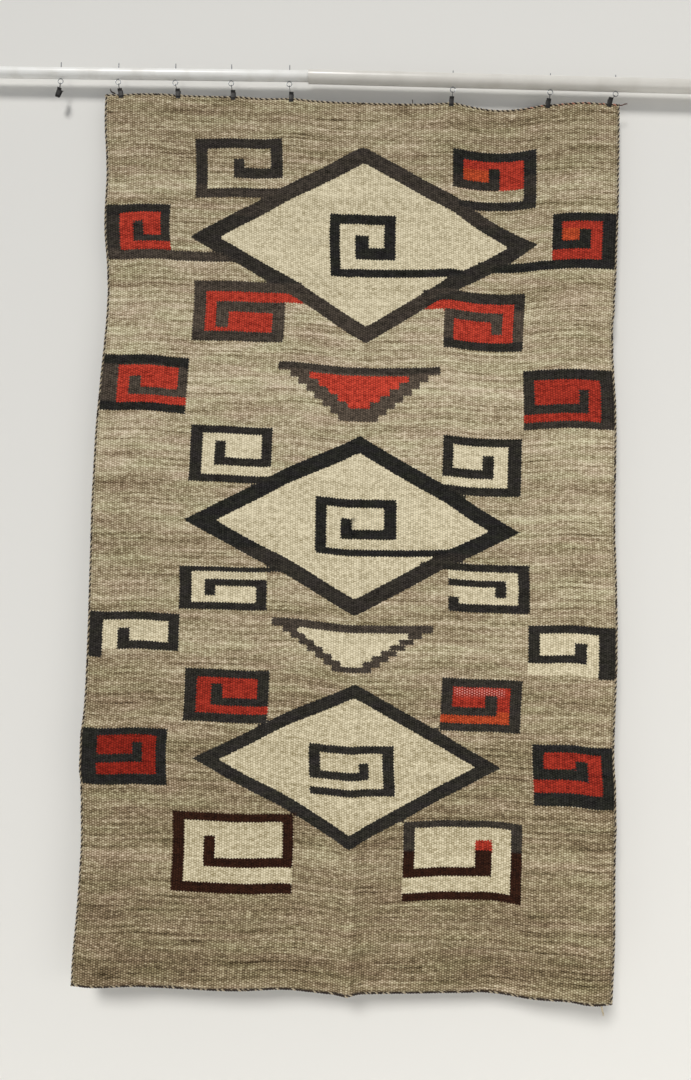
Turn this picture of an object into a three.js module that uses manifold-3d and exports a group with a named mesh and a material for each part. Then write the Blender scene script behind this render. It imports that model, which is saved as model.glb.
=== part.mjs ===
// Handwoven wool rug hung by clips from a two-part rod. Millimetres, +Z up.
// The origin is on the rod's axis where the rod is held. The rug hangs in the XZ plane and faces -Y.
import * as THREE from 'three';
import { mergeVertices } from 'three/addons/utils/BufferGeometryUtils.js';
import Module from 'manifold-3d';

const wasm = await Module();
wasm.setup();

// The rod: a thin tube whose end sits inside a wider tube that droops a little.
const ROD_WALL = 1.6;
const ROD_SIDES = 28;
const THIN_TUBE = { radius: 13.35, from: -950, to: -78, axisZ: 2.7, droop: 0 };
const WIDE_TUBE = { radius: 16.7, from: -135, to: 862, axisZ: 0, droop: THREE.MathUtils.degToRad(0.8) };

// Screw eyes through the rod. Their rings hang just under it.
const EYE = { ring: 6.3, wire: 1.0, shank: 1.3, length: 51, gapToRod: 0.4, sides: 6, steps: 18 };
const HOLE_CLEARANCE = 0.35;

// Spring clips on short wire loops.
const CLIP = { width: 11.5, sheet: 0.8, pin: 0.9, overEdge: 10.5 };
const LOOP = { radius: 1.9, wire: 0.6, sides: 5, turn: 6 };
const EAR = { thick: 0.7, half: 2.0, reach: 1.9, root: 3.5, inner: 3.95, outer: 5.1 };
const EMPTY_CLOSE = THREE.MathUtils.degToRad(6.5);
const EMPTY_PIVOT_Z = -45;

// A jaw's inner face from its finger lever to its tip: how far it stands from the clip's middle,
// and how high it is above the pin. It leaves room for the edge cord and closes on the cloth below it.
const JAW_PROFILE = table(['out', 'up'], [
  [5, 8], [3.1, 1.8], [3.1, -3], [3, -10.2], [1.85, -12.9], [1.85, -15],
]);

// One row a clip: the x of its screw eye and of its jaws, the slant of the jaws in degrees,
// and where the wire loop sits along the jaws' pin.
const CLIPS = table(['eyeX', 'jawX', 'slant', 'loopAt'], [
  [-764, -766, 20, 0],
  [-617, -610, -10, -2],
  [-472, -464, -2, -2],
  [-330, -324, 0, -2],
  [-183, -177, 1, -2],
  [229, 226, 3, 1],
  [473, 468, 8, 2],
  [636, 622, 13, 2],
]);

// The cloth. Its outline is as uneven as the handwoven one.
const CLOTH = { thick: 3, rowStep: 72, columnStep: 46, topFlat: 26 };
const CORD = { radius: 2.3, sides: 6, gap: 0.35 };
const GRIP_HALF = 9;

// The top edge hangs in bays between its clips: how far each clip's point lies below the rod's axis,
// how far the bay to the right of it sags, and how far that bay bows out of the hanging plane.
const BAYS = table(['x', 'drop', 'sag', 'bow'], [
  [-644, 56, 0, 0],
  [-610, 56, -5, 3],
  [-464, 55, 2, -2],
  [-324, 57, 1, 3],
  [-177, 60, 11, -7],
  [226, 66, 14, 5],
  [468, 68, -2, -4],
  [622, 63, 0, 0],
  [641, 65, 0, 0],
]);

// The hem: its height below the rod, and how far it stands out of the hanging plane, minus to the front.
const HEM = table(['x', 'drop', 'depth'], [
  [-641, 2243, -12],
  [-589, 2246, -12],
  [-514, 2243, -8],
  [-459, 2244, -4],
  [-361, 2245, -6],
  [-242, 2246, -5],
  [-150, 2241, -2],
  [-77, 2246, 2],
  [-15, 2252, 5],
  [12, 2251, 5],
  [60, 2249, 6],
  [188, 2246, 12],
  [300, 2242, 14],
  [360, 2241, 15],
  [445, 2247, 5],
  [490, 2244, -8],
  [540, 2242, -16],
  [590, 2247, -20],
  [635, 2246, -14],
]);

// The two side edges, down from the top.
const LEFT_SIDE = table(['drop', 'x'], [
  [56, -643], [130, -642], [250, -633], [390, -633], [510, -621], [640, -620], [770, -628],
  [957, -636], [1200, -637], [1570, -636], [1693, -643], [1830, -634], [2000, -632], [2170, -640],
  [2243, -641],
]);
const RIGHT_SIDE = table(['drop', 'x'], [
  [65, 641], [240, 641], [430, 638], [560, 633], [650, 629], [745, 632], [840, 638],
  [1100, 637], [1420, 644], [1660, 637], [1760, 642], [2000, 641], [2150, 640], [2246, 635],
]);

// The crease left by folding the rug in half: a soft ridge towards the front, growing down to the hem.
const CREASE = { from: 130, half: 34, rise: 15, riseAtTop: 0.25, sharpness: 1.4 };
const CREASE_LINE = table(['v', 'x'], [[0, -26], [0.25, 6], [1, 14]]);
const CREASE_MIDDLE = 6;

// How the cloth's depth changes down its height: the bays' bow fades within BOW_FADE of the top,
// and the hem's waves grow towards the hem.
const BOW_FADE = 420;
const HEM_GROWTH = 1.6;

// Loose ends of yarn: the edge cord and the x that each grows from, the way it leaves the cord,
// its radius, and the points [x, y, z] of its path from there.
const LOOSE_ENDS = table(['name', 'cord', 'x', 'way', 'radius', 'path'], [
  ['corner_tail_left', 'top_edge_cord', -623, 'up', 1.2,
    [[-2, 0, 2.6], [-7, -1, 4.5], [-11, -1, 8], [-13, -1, 14]]],
  ['corner_tail_right', 'top_edge_cord', 700, 'end', 1.3, [[6, 0, 0.5], [12, -1, 2.5], [19, -2, 3.5]]],
  ['edge_thread', 'top_edge_cord', 128, 'up', 0.9, [[0.3, 0, 4], [0, -0.5, 8], [-1, -0.5, 11]]],
  ['hem_wisp', 'hem_edge_cord', 614, 'down', 1.5, [[1, -0.5, -7], [3, -0.5, -15], [4, 0, -22]]],
]);
const LOOSE_SIDES = 5;
const LOOSE_STEPS = 6;

const PAINT = {
  cloth: { color: 0xa39478, roughness: 0.95, metalness: 0 },
  cord: { color: 0x3a2c22, roughness: 0.9, metalness: 0 },
  wisp: { color: 0xcfc6ae, roughness: 0.95, metalness: 0 },
  rod: { color: 0xe9e9e6, roughness: 0.35, metalness: 0 },
  steel: { color: 0x8f9296, roughness: 0.35, metalness: 1 },
  clip: { color: 0x17171a, roughness: 0.45, metalness: 0.6 },
};

/** Rows of plain numbers as objects whose keys are the column names. */
function table(columns, rows) {
  return rows.map((row) => Object.fromEntries(columns.map((name, i) => [name, row[i]])));
}

/** A smooth curve through a table: the value of one column where another column has a given value. */
function smoothAt(rows, key, value, at) {
  const last = rows.length - 1;
  const after = Math.max(1, rows.findIndex((row) => row[key] >= at));
  const i = at >= rows[last][key] ? last : after;
  const slope = (k) => {
    const a = rows[Math.max(0, k - 1)];
    const b = rows[Math.min(last, k + 1)];
    return (b[value] - a[value]) / (b[key] - a[key]);
  };
  const span = rows[i][key] - rows[i - 1][key];
  const t = THREE.MathUtils.clamp((at - rows[i - 1][key]) / span, 0, 1);
  const start = rows[i - 1][value] + slope(i - 1) * span * t;
  const end = rows[i][value] - slope(i) * span * (1 - t);
  return THREE.MathUtils.lerp(start, end, THREE.MathUtils.smoothstep(t, 0, 1));
}

/** The bay that holds x, with the shares of the way across it; grips are flat for GRIP_HALF either side. */
function bayAt(x) {
  const next = Math.max(1, BAYS.findIndex((bay) => bay.x >= x));
  const right = BAYS[x >= BAYS.at(-1).x ? BAYS.length - 1 : next];
  const left = BAYS[BAYS.indexOf(right) - 1];
  const flat = right.x - left.x > 4 * GRIP_HALF ? GRIP_HALF : 0;
  const t = THREE.MathUtils.clamp((x - left.x - flat) / (right.x - left.x - 2 * flat), 0, 1);
  return { left, right, t };
}

function topDrop(x) {
  const { left, right, t } = bayAt(x);
  return THREE.MathUtils.lerp(left.drop, right.drop, t) + left.sag * 4 * t * (1 - t);
}

/** How far a bay bows out of the plane: nothing at its clips, and dying away down the cloth. */
function bayBow(x, drop) {
  const { left, t } = bayAt(x);
  const below = Math.max(0, drop - topDrop(x) - CLOTH.topFlat);
  const fade = Math.exp(-((below / BOW_FADE) ** 2));
  return left.bow * Math.sin(Math.PI * t) ** 2 * fade;
}

/** How far the crease's ridge stands out at x, a share v of the way down. */
function creaseRise(x, drop, v) {
  const away = Math.abs(x - smoothAt(CREASE_LINE, 'v', 'x', v));
  const ridge = Math.max(0, 1 - away / CREASE.half) ** CREASE.sharpness;
  const begun = THREE.MathUtils.smoothstep(drop, CREASE.from, 2 * CREASE.from);
  return -CREASE.rise * THREE.MathUtils.lerp(CREASE.riseAtTop, 1, v * v) * begun * ridge;
}

/** A point of the cloth's middle surface: u from the left edge to the right, v from the top to the hem. */
function clothPoint(u, v) {
  const topX = THREE.MathUtils.lerp(BAYS[0].x, BAYS.at(-1).x, u);
  const hemX = THREE.MathUtils.lerp(HEM[0].x, HEM.at(-1).x, u);
  const drop = THREE.MathUtils.lerp(topDrop(topX), smoothAt(HEM, 'x', 'drop', hemX), v);
  const leftDrop = THREE.MathUtils.lerp(LEFT_SIDE[0].drop, LEFT_SIDE.at(-1).drop, v);
  const rightDrop = THREE.MathUtils.lerp(RIGHT_SIDE[0].drop, RIGHT_SIDE.at(-1).drop, v);
  const leftX = smoothAt(LEFT_SIDE, 'drop', 'x', leftDrop);
  const rightX = smoothAt(RIGHT_SIDE, 'drop', 'x', rightDrop);
  const x = THREE.MathUtils.lerp(leftX, rightX, u);
  const wave = smoothAt(HEM, 'x', 'depth', hemX) * v ** HEM_GROWTH;
  const y = wave + bayBow(topX, drop) + creaseRise(x, drop, v);
  return new THREE.Vector3(x, y, -drop);
}

/** Even steps from one place to the next, no longer than a given step; the last place is left out. */
function steps(from, to, longest) {
  const count = Math.max(1, Math.ceil((to - from) / longest));
  return Array.from({ length: count }, (_, i) => from + ((to - from) * i) / count);
}

/** The cloth's column places: the ends of each clip's grip, the crease, and even steps between. */
function columnPlaces() {
  const fixed = [BAYS[0].x];
  for (const bay of BAYS.slice(1, -1)) {
    fixed.push(bay.x - GRIP_HALF, bay.x + GRIP_HALF);
  }
  fixed.push(BAYS.at(-1).x);
  for (const offset of [-1, -0.5, 0, 0.5, 1]) {
    fixed.push(CREASE_MIDDLE + offset * CREASE.half);
  }
  fixed.sort((a, b) => a - b);
  const places = fixed.slice(1).flatMap((x, i) => steps(fixed[i], x, CLOTH.columnStep));
  return [...places, fixed.at(-1)];
}

const COLUMNS = columnPlaces().map((x) => (x - BAYS[0].x) / (BAYS.at(-1).x - BAYS[0].x));
const HEIGHT = HEM[0].drop - BAYS[0].drop;
const ROWS = [0, ...steps(CLOTH.topFlat / HEIGHT, 1, CLOTH.rowStep / HEIGHT), 1];

/** A closed mesh from points and triangles, turned so that its faces point out. */
function closedGeometry(points, triangles) {
  let volume = 0;
  for (const [a, b, c] of triangles) {
    volume += points[a].dot(points[b].clone().cross(points[c]));
  }
  const outward = volume > 0 ? triangles : triangles.map(([a, b, c]) => [a, c, b]);
  const geometry = new THREE.BufferGeometry().setFromPoints(points);
  geometry.setIndex(outward.flat());
  geometry.computeVertexNormals();
  return geometry;
}

/** The cloth: its middle surface, moved half a thickness to the front and the back, closed round the rim. */
function clothGeometry() {
  const wide = COLUMNS.length;
  const tall = ROWS.length;
  const points = [];
  for (const side of [-0.5, 0.5]) {
    for (const v of ROWS) {
      for (const u of COLUMNS) {
        const p = clothPoint(u, v);
        points.push(p.setY(p.y + side * CLOTH.thick));
      }
    }
  }
  const back = wide * tall;
  const at = (row, column) => row * wide + column;
  const triangles = [];
  const quad = (a, b, c, d) => triangles.push([a, b, c], [a, c, d]);
  for (let row = 0; row < tall - 1; row += 1) {
    for (let column = 0; column < wide - 1; column += 1) {
      const corners = [at(row, column), at(row + 1, column), at(row + 1, column + 1), at(row, column + 1)];
      quad(...corners);
      quad(...corners.map((corner) => back + corner).reverse());
    }
  }
  const rim = [];
  for (let column = 0; column < wide - 1; column += 1) rim.push(at(0, column));
  for (let row = 0; row < tall - 1; row += 1) rim.push(at(row, wide - 1));
  for (let column = wide - 1; column > 0; column -= 1) rim.push(at(tall - 1, column));
  for (let row = tall - 1; row > 0; row -= 1) rim.push(at(row, 0));
  rim.forEach((a, i) => {
    const b = rim[(i + 1) % rim.length];
    quad(a, b, back + b, back + a);
  });
  return closedGeometry(points, triangles);
}

/** A round yarn or wire along points: a ring of corners square to the path at each point. */
function sweptGeometry(path, radius, sides, closed = false) {
  const count = path.length;
  const points = [];
  path.forEach((p, i) => {
    const before = path[closed ? (i + count - 1) % count : Math.max(0, i - 1)];
    const after = path[closed ? (i + 1) % count : Math.min(count - 1, i + 1)];
    const along = after.clone().sub(before).normalize();
    const flat = closed ? new THREE.Vector3(1, 0, 0) : new THREE.Vector3(0, 1, 0);
    const across = flat.clone().addScaledVector(along, -flat.dot(along)).normalize();
    const up = along.clone().cross(across);
    for (let k = 0; k < sides; k += 1) {
      const angle = (2 * Math.PI * k) / sides;
      const corner = p.clone().addScaledVector(across, radius * Math.cos(angle));
      points.push(corner.addScaledVector(up, radius * Math.sin(angle)));
    }
  });
  const triangles = [];
  for (let i = 0; i < (closed ? count : count - 1); i += 1) {
    for (let k = 0; k < sides; k += 1) {
      const a = i * sides + k;
      const b = i * sides + ((k + 1) % sides);
      const c = ((i + 1) % count) * sides + ((k + 1) % sides);
      const d = ((i + 1) % count) * sides + k;
      triangles.push([a, b, c], [a, c, d]);
    }
  }
  if (!closed) {
    for (let k = 1; k < sides - 1; k += 1) {
      const end = (count - 1) * sides;
      triangles.push([0, k + 1, k], [end, end + k, end + k + 1]);
    }
  }
  return closedGeometry(points, triangles);
}

/** The four twisted cords that finish the cloth: along the top, the hem and the two sides. */
function edgeCordPaths() {
  const out = CORD.radius + CORD.gap;
  const overSides = 2 * CORD.radius + CORD.gap;
  const shifted = (p, dx, dz) => new THREE.Vector3(p.x + dx, p.y, p.z + dz);
  const across = (v, dz) => {
    const line = COLUMNS.map((u) => shifted(clothPoint(u, v), 0, dz));
    return [shifted(line[0], -overSides, 0), ...line, shifted(line.at(-1), overSides, 0)];
  };
  return {
    top_edge_cord: across(0, out),
    hem_edge_cord: across(1, -out),
    left_edge_cord: ROWS.map((v) => shifted(clothPoint(0, v), -out, 0)),
    right_edge_cord: ROWS.map((v) => shifted(clothPoint(1, v), out, 0)),
  };
}

/** A loose end's path: it starts just off its cord's surface, or off the cord's cut end. */
function looseEndPath({ x, way, path }, cordPath) {
  const after = cordPath.findIndex((p) => p.x > x);
  const [a, b] = after < 0 ? [cordPath.at(-2), cordPath.at(-1)] : [cordPath[after - 1], cordPath[after]];
  const root = a.clone().lerp(b, THREE.MathUtils.clamp((x - a.x) / (b.x - a.x), 0, 1));
  const reach = CORD.radius + CORD.gap;
  if (way === 'end') root.x += CORD.gap;
  if (way === 'up') root.z += reach;
  if (way === 'down') root.z -= reach;
  const points = [root, ...path.map((p) => root.clone().add(new THREE.Vector3(...p)))];
  return new THREE.CatmullRomCurve3(points).getPoints(LOOSE_STEPS);
}

/** A closed three.js mesh as a solid that can be cut and joined. */
function toSolid(geometry) {
  const bare = geometry.clone();
  bare.deleteAttribute('normal');
  bare.deleteAttribute('uv');
  const merged = mergeVertices(bare, 1e-4);
  return new wasm.Manifold(new wasm.Mesh({
    numProp: 3,
    vertProperties: new Float32Array(merged.attributes.position.array),
    triVerts: new Uint32Array(merged.index.array),
  }));
}

function fromSolid(solid) {
  const mesh = solid.getMesh();
  const geometry = new THREE.BufferGeometry();
  geometry.setAttribute('position', new THREE.BufferAttribute(mesh.vertProperties.slice(), 3));
  geometry.setIndex(Array.from(mesh.triVerts));
  geometry.computeVertexNormals();
  return geometry;
}

/** A round bar between two heights or two x places, along the given axis. */
function bar(axis, radius, from, to, sides) {
  const geometry = new THREE.CylinderGeometry(radius, radius, to - from, sides);
  if (axis === 'x') geometry.rotateZ(-Math.PI / 2);
  if (axis === 'z') geometry.rotateX(Math.PI / 2);
  const middle = (from + to) / 2;
  return geometry.translate(axis === 'x' ? middle : 0, 0, axis === 'z' ? middle : 0);
}

/** The height of a tube's axis at x. */
function axisHeight(tube, x) {
  return tube.axisZ - Math.tan(tube.droop) * x;
}

const tubeAt = (x) => (x < THIN_TUBE.to ? THIN_TUBE : WIDE_TUBE);

/** The middle of the screw eye's ring at x, just under the rod. */
function eyeHeight(x) {
  const tube = tubeAt(x);
  return axisHeight(tube, x) - tube.radius / Math.cos(tube.droop) - EYE.gapToRod - EYE.ring - EYE.wire;
}

/** A tube of the rod, with a hole through both walls for each of its screw eyes. */
function tubeGeometry(tube) {
  const profile = [
    new THREE.Vector2(tube.radius - ROD_WALL, tube.from),
    new THREE.Vector2(tube.radius, tube.from),
    new THREE.Vector2(tube.radius, tube.to),
    new THREE.Vector2(tube.radius - ROD_WALL, tube.to),
    new THREE.Vector2(tube.radius - ROD_WALL, tube.from),
  ];
  const wall = new THREE.LatheGeometry(profile, ROD_SIDES).rotateZ(-Math.PI / 2);
  wall.rotateY(tube.droop).translate(0, 0, tube.axisZ);
  let solid = toSolid(wall);
  for (const { eyeX } of CLIPS.filter((clip) => tubeAt(clip.eyeX) === tube)) {
    const reach = 2 * tube.radius;
    const hole = bar('z', EYE.shank + HOLE_CLEARANCE, -reach, reach, EYE.sides);
    solid = solid.subtract(toSolid(hole.translate(eyeX, 0, axisHeight(tube, eyeX))));
  }
  return fromSolid(solid);
}

/** A screw eye: a wire ring in the XZ plane with its shank standing up from it. */
function eyeGeometry() {
  const ring = new THREE.TorusGeometry(EYE.ring, EYE.wire, EYE.sides, EYE.steps).rotateX(Math.PI / 2);
  const shank = bar('z', EYE.shank, EYE.ring, EYE.length, EYE.sides);
  return fromSolid(toSolid(ring).add(toSolid(shank)));
}

/** A wire loop through the screw eye's ring and round the clip's pin: two half circles and two straights. */
function loopGeometry(length) {
  const path = [];
  for (const [centre, start] of [[0, Math.PI], [length, 0]]) {
    for (let i = 0; i <= LOOP.turn; i += 1) {
      const angle = start + (Math.PI * i) / LOOP.turn;
      path.push(new THREE.Vector3(0, LOOP.radius * Math.cos(angle), centre + LOOP.radius * Math.sin(angle)));
    }
  }
  return sweptGeometry(path, LOOP.wire, LOOP.sides, true);
}

/** One jaw of bent sheet, drawn in the YZ plane about the pin and carried across the clip's width. */
function jawGeometry(side) {
  const inner = JAW_PROFILE.map(({ out, up }) => new THREE.Vector2(side * out, up));
  const outer = JAW_PROFILE.map(({ out, up }) => new THREE.Vector2(side * (out + CLIP.sheet), up)).reverse();
  const outline = new THREE.Shape([...inner, ...outer]);
  const plate = new THREE.ExtrudeGeometry(outline, { depth: CLIP.width, bevelEnabled: false });
  const turned = new THREE.Matrix4().makeBasis(
    new THREE.Vector3(0, 1, 0), new THREE.Vector3(0, 0, 1), new THREE.Vector3(1, 0, 0));
  return plate.applyMatrix4(turned).translate(-CLIP.width / 2, 0, 0);
}

/** The ears that carry a jaw on the pin, at an even distance either side of the clip's middle. */
function ears(side, place) {
  return [-place, place].map((x) => {
    const ear = new THREE.BoxGeometry(EAR.thick, EAR.root + EAR.reach, 2 * EAR.half);
    return toSolid(ear.translate(x, (side * (EAR.root - EAR.reach)) / 2, 0));
  });
}

/** The front jaw, its ears drilled for the pin. */
function frontJawGeometry() {
  let jaw = toSolid(jawGeometry(-1));
  for (const ear of ears(-1, EAR.inner)) jaw = jaw.add(ear);
  const hole = bar('x', CLIP.pin + HOLE_CLEARANCE, -CLIP.width, CLIP.width, EYE.sides);
  return fromSolid(jaw.subtract(toSolid(hole)));
}

/** The back jaw with the pin riveted into its ears. */
function backJawGeometry() {
  let jaw = toSolid(jawGeometry(1));
  for (const ear of ears(1, EAR.outer)) jaw = jaw.add(ear);
  const end = CLIP.width / 2;
  return fromSolid(jaw.add(toSolid(bar('x', CLIP.pin, -end, end, EYE.sides))));
}

function part(name, geometry, paint) {
  const mesh = new THREE.Mesh(geometry, new THREE.MeshStandardMaterial(paint));
  mesh.name = name;
  return mesh;
}

function rod() {
  const group = new THREE.Group();
  group.add(part('rod_thin_tube', tubeGeometry(THIN_TUBE), PAINT.rod));
  group.add(part('rod_wide_tube', tubeGeometry(WIDE_TUBE), PAINT.rod));
  return group;
}

/** A clip with its screw eye and the wire loop between them. The first clip holds nothing and is shut. */
function clip({ eyeX, jawX, slant, loopAt }, number) {
  const group = new THREE.Group();
  const eye = part(`screw_eye_${number}`, eyeGeometry(), PAINT.steel);
  eye.position.set(eyeX, 0, eyeHeight(eyeX));
  group.add(eye);

  const empty = jawX < BAYS[0].x;
  const pivotZ = empty ? EMPTY_PIVOT_Z : CLIP.overEdge - topDrop(jawX);
  const jaws = new THREE.Group();
  jaws.position.set(jawX, 0, pivotZ);
  jaws.rotation.y = THREE.MathUtils.degToRad(slant);
  const front = part(`clip_${number}_front_jaw`, frontJawGeometry(), PAINT.clip);
  const back = part(`clip_${number}_back_jaw`, backJawGeometry(), PAINT.clip);
  if (empty) {
    front.rotation.x = EMPTY_CLOSE;
    back.rotation.x = -EMPTY_CLOSE;
  }
  jaws.add(front, back);
  group.add(jaws);

  const onPin = new THREE.Vector3(loopAt, 0, 0).applyEuler(jaws.rotation).add(jaws.position);
  const onRing = eye.position.clone().add(onPin.clone().sub(eye.position).setLength(EYE.ring));
  const loop = part(`clip_${number}_wire_loop`, loopGeometry(onRing.distanceTo(onPin)), PAINT.clip);
  loop.position.copy(onPin);
  loop.rotation.y = Math.atan2(onRing.x - onPin.x, onRing.z - onPin.z);
  group.add(loop);
  return group;
}

function rug() {
  const group = new THREE.Group();
  group.add(part('rug_cloth', clothGeometry(), PAINT.cloth));
  const cords = edgeCordPaths();
  for (const [name, path] of Object.entries(cords)) {
    group.add(part(name, sweptGeometry(path, CORD.radius, CORD.sides), PAINT.cord));
  }
  for (const row of LOOSE_ENDS) {
    const paint = row.name === 'hem_wisp' ? PAINT.wisp : PAINT.cord;
    const path = looseEndPath(row, cords[row.cord]);
    group.add(part(row.name, sweptGeometry(path, row.radius, LOOSE_SIDES), paint));
  }
  return group;
}

const group = new THREE.Group();
group.add(rug(), rod(), ...CLIPS.map((row, i) => clip(row, i + 1)));

export default group;
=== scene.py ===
"""A handwoven wool rug that hangs by spring clips and screw eyes from a white two-part rod.

Everything is worked out in millimetres in the part's own frame and turned to metres in the meshes: the
rod lies along X, Z is up, and the rug faces -Y. A place on the woven cloth is given as (across, down) in
millimetres of cloth, measured from the middle of the top edge.
"""

import logging
import math
from dataclasses import dataclass, field
from enum import Enum
from functools import partial

import bpy
import numpy as np
from mathutils import Matrix, Vector

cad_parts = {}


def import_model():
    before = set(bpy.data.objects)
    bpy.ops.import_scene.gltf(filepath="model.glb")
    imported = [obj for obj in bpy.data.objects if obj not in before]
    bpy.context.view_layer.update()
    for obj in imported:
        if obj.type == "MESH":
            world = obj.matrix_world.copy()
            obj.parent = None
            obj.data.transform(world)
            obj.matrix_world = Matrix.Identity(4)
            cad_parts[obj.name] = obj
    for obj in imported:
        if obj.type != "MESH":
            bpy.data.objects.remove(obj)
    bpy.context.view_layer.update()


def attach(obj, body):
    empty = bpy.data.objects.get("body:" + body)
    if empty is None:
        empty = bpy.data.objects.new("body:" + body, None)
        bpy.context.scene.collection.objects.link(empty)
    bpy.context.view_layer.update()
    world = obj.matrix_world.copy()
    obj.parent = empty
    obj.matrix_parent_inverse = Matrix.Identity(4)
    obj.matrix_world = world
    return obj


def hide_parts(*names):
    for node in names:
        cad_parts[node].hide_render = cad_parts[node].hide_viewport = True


MM = 0.001
COLOUR = 2  # the output of a mix of colours
FAR_OFF = 1e4  # millimetres, more than any distance on the cloth
LOG = logging.getLogger("rug")
Shell = tuple[np.ndarray, list]


def linear(hex_colour: str) -> tuple[float, float, float, float]:
    """An sRGB hex colour as linear red, green, blue and a full alpha."""
    parts = [int(hex_colour[i:i + 2], 16) / 255 for i in (0, 2, 4)]
    return (*[c / 12.92 if c <= 0.04045 else ((c + 0.055) / 1.055) ** 2.4 for c in parts], 1.0)


def feed(node: bpy.types.Node, inputs: dict) -> None:
    """Sets a node's inputs.

    Args:
        node: the node.
        inputs: an input's name or number, with its value, its sRGB hex colour or the output that feeds it.
    """
    for key, value in inputs.items():
        if isinstance(value, bpy.types.NodeSocket):
            node.id_data.links.new(value, node.inputs[key])
        else:
            node.inputs[key].default_value = linear(value) if isinstance(value, str) else value


def add_node(tree: bpy.types.NodeTree, kind: str, inputs: dict | None = None, out: int | str = 0,
             **settings) -> bpy.types.NodeSocket:
    """Adds one node to a material, with its settings and links.

    Args:
        tree: the material's nodes.
        kind: the node's type, without the word that every shader node's type starts with.
        inputs: what feed() takes.
        out: the name or number of the output that is wanted.
        settings: the node's own settings, by name.

    Returns:
        That output.
    """
    node = tree.nodes.new(f"ShaderNode{kind}")
    for name, value in settings.items():
        setattr(node, name, value)
    feed(node, inputs or {})
    return node.outputs[out]


def new_finish(name: str) -> tuple[bpy.types.Material, bpy.types.NodeTree, bpy.types.Node]:
    """Starts a material.

    Args:
        name: its name.

    Returns:
        The material, its nodes, and its shader.
    """
    finish = bpy.data.materials.new(name)
    finish.use_nodes = True
    return finish, finish.node_tree, finish.node_tree.nodes["Principled BSDF"]


def smooth(t: np.ndarray) -> np.ndarray:
    """The smooth step three t squared less two t cubed, held to 0 and 1 outside."""
    t = np.clip(t, 0.0, 1.0)
    return t * t * (3.0 - 2.0 * t)


def through(rows: np.ndarray, at: np.ndarray, column: int = 1) -> np.ndarray:
    """A smooth curve through a table's rows.

    Between two rows the lines that leave each with its own slope are blended by a smooth step. A row's
    slope is that from the row before it to the row after it.

    Args:
        rows: the table, its first column rising.
        at: where the curve is read, in the first column's terms.
        column: the column that is read.

    Returns:
        The column's value at each place.
    """
    key, value = rows[:, 0], rows[:, column]
    before, after = np.r_[0, 0:len(key) - 1], np.r_[1:len(key), len(key) - 1]
    slope = (value[after] - value[before]) / (key[after] - key[before])
    i = np.clip(np.searchsorted(key, at), 1, len(key) - 1)
    span = key[i] - key[i - 1]
    t = np.clip((at - key[i - 1]) / span, 0.0, 1.0)
    start = value[i - 1] + slope[i - 1] * span * t
    end = value[i] - slope[i] * span * (1.0 - t)
    return start + (end - start) * smooth(t)


def waves(at: np.ndarray, length: float, seed: int, count: int = 5) -> np.ndarray:
    """An uneven wave between about -1 and 1: a sum of sines whose lengths and phases a seed picks.

    Args:
        at: where the wave is read, in millimetres.
        length: the longest of the sines, in millimetres.
        seed: picks the lengths and phases.
        count: how many sines are summed.

    Returns:
        The wave's height at each place.
    """
    draw = np.random.default_rng(seed)
    total = np.zeros_like(at, dtype=float)
    for step in range(count):
        shorter = length / (1.0 + 0.7 * step + 0.4 * draw.random())
        total += np.sin(2.0 * math.pi * at / shorter + 2.0 * math.pi * draw.random()) / (1.0 + 0.5 * step)
    return total / 2.0


def circle(radius: float, sides: int) -> np.ndarray:
    """A round section's corners, turning from its first axis to its second."""
    angle = 2.0 * math.pi * np.arange(sides) / sides
    return radius * np.stack([np.cos(angle), np.sin(angle)], -1)


def rounded_bar(wide: float, thick: float, edge: float, turn: int = 3) -> np.ndarray:
    """A flat bar's section with round edges.

    Args:
        wide: its size along the section's first axis.
        thick: its size along the second.
        edge: the radius of its edges.
        turn: the steps round each edge.

    Returns:
        The section's corners, turning from the first axis to the second.
    """
    quarter = np.linspace(0.0, math.pi / 2.0, turn + 1)
    corners = [(1, 1, 0), (-1, 1, 1), (-1, -1, 2), (1, -1, 3)]
    parts = [
        np.stack([sx * (wide / 2 - edge) + edge * np.cos(quarter + k * math.pi / 2),
                  sy * (thick / 2 - edge) + edge * np.sin(quarter + k * math.pi / 2)], -1)
        for sx, sy, k in corners
    ]
    return np.concatenate(parts)


def square_to(path: np.ndarray, facing: tuple[float, float, float] = (0.0, 1.0, 0.0),
              closed: bool = False) -> tuple[np.ndarray, np.ndarray]:
    """Two directions square to a path and to each other, at each of its points.

    The first is the facing direction made square to the path, and the second is the path's own direction
    crossed with that.

    Args:
        path: the path's points.
        facing: the direction that the first one leans to.
        closed: whether the path runs back to its start.

    Returns:
        The two directions.
    """
    ahead = np.roll(path, -1, 0) - np.roll(path, 1, 0) if closed else np.gradient(path, axis=0)
    ahead = ahead / np.linalg.norm(ahead, axis=1, keepdims=True)
    lean = np.asarray(facing, float)
    across = lean - (ahead @ lean)[:, None] * ahead
    across = across / np.linalg.norm(across, axis=1, keepdims=True)
    return across, np.cross(ahead, across)


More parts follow.
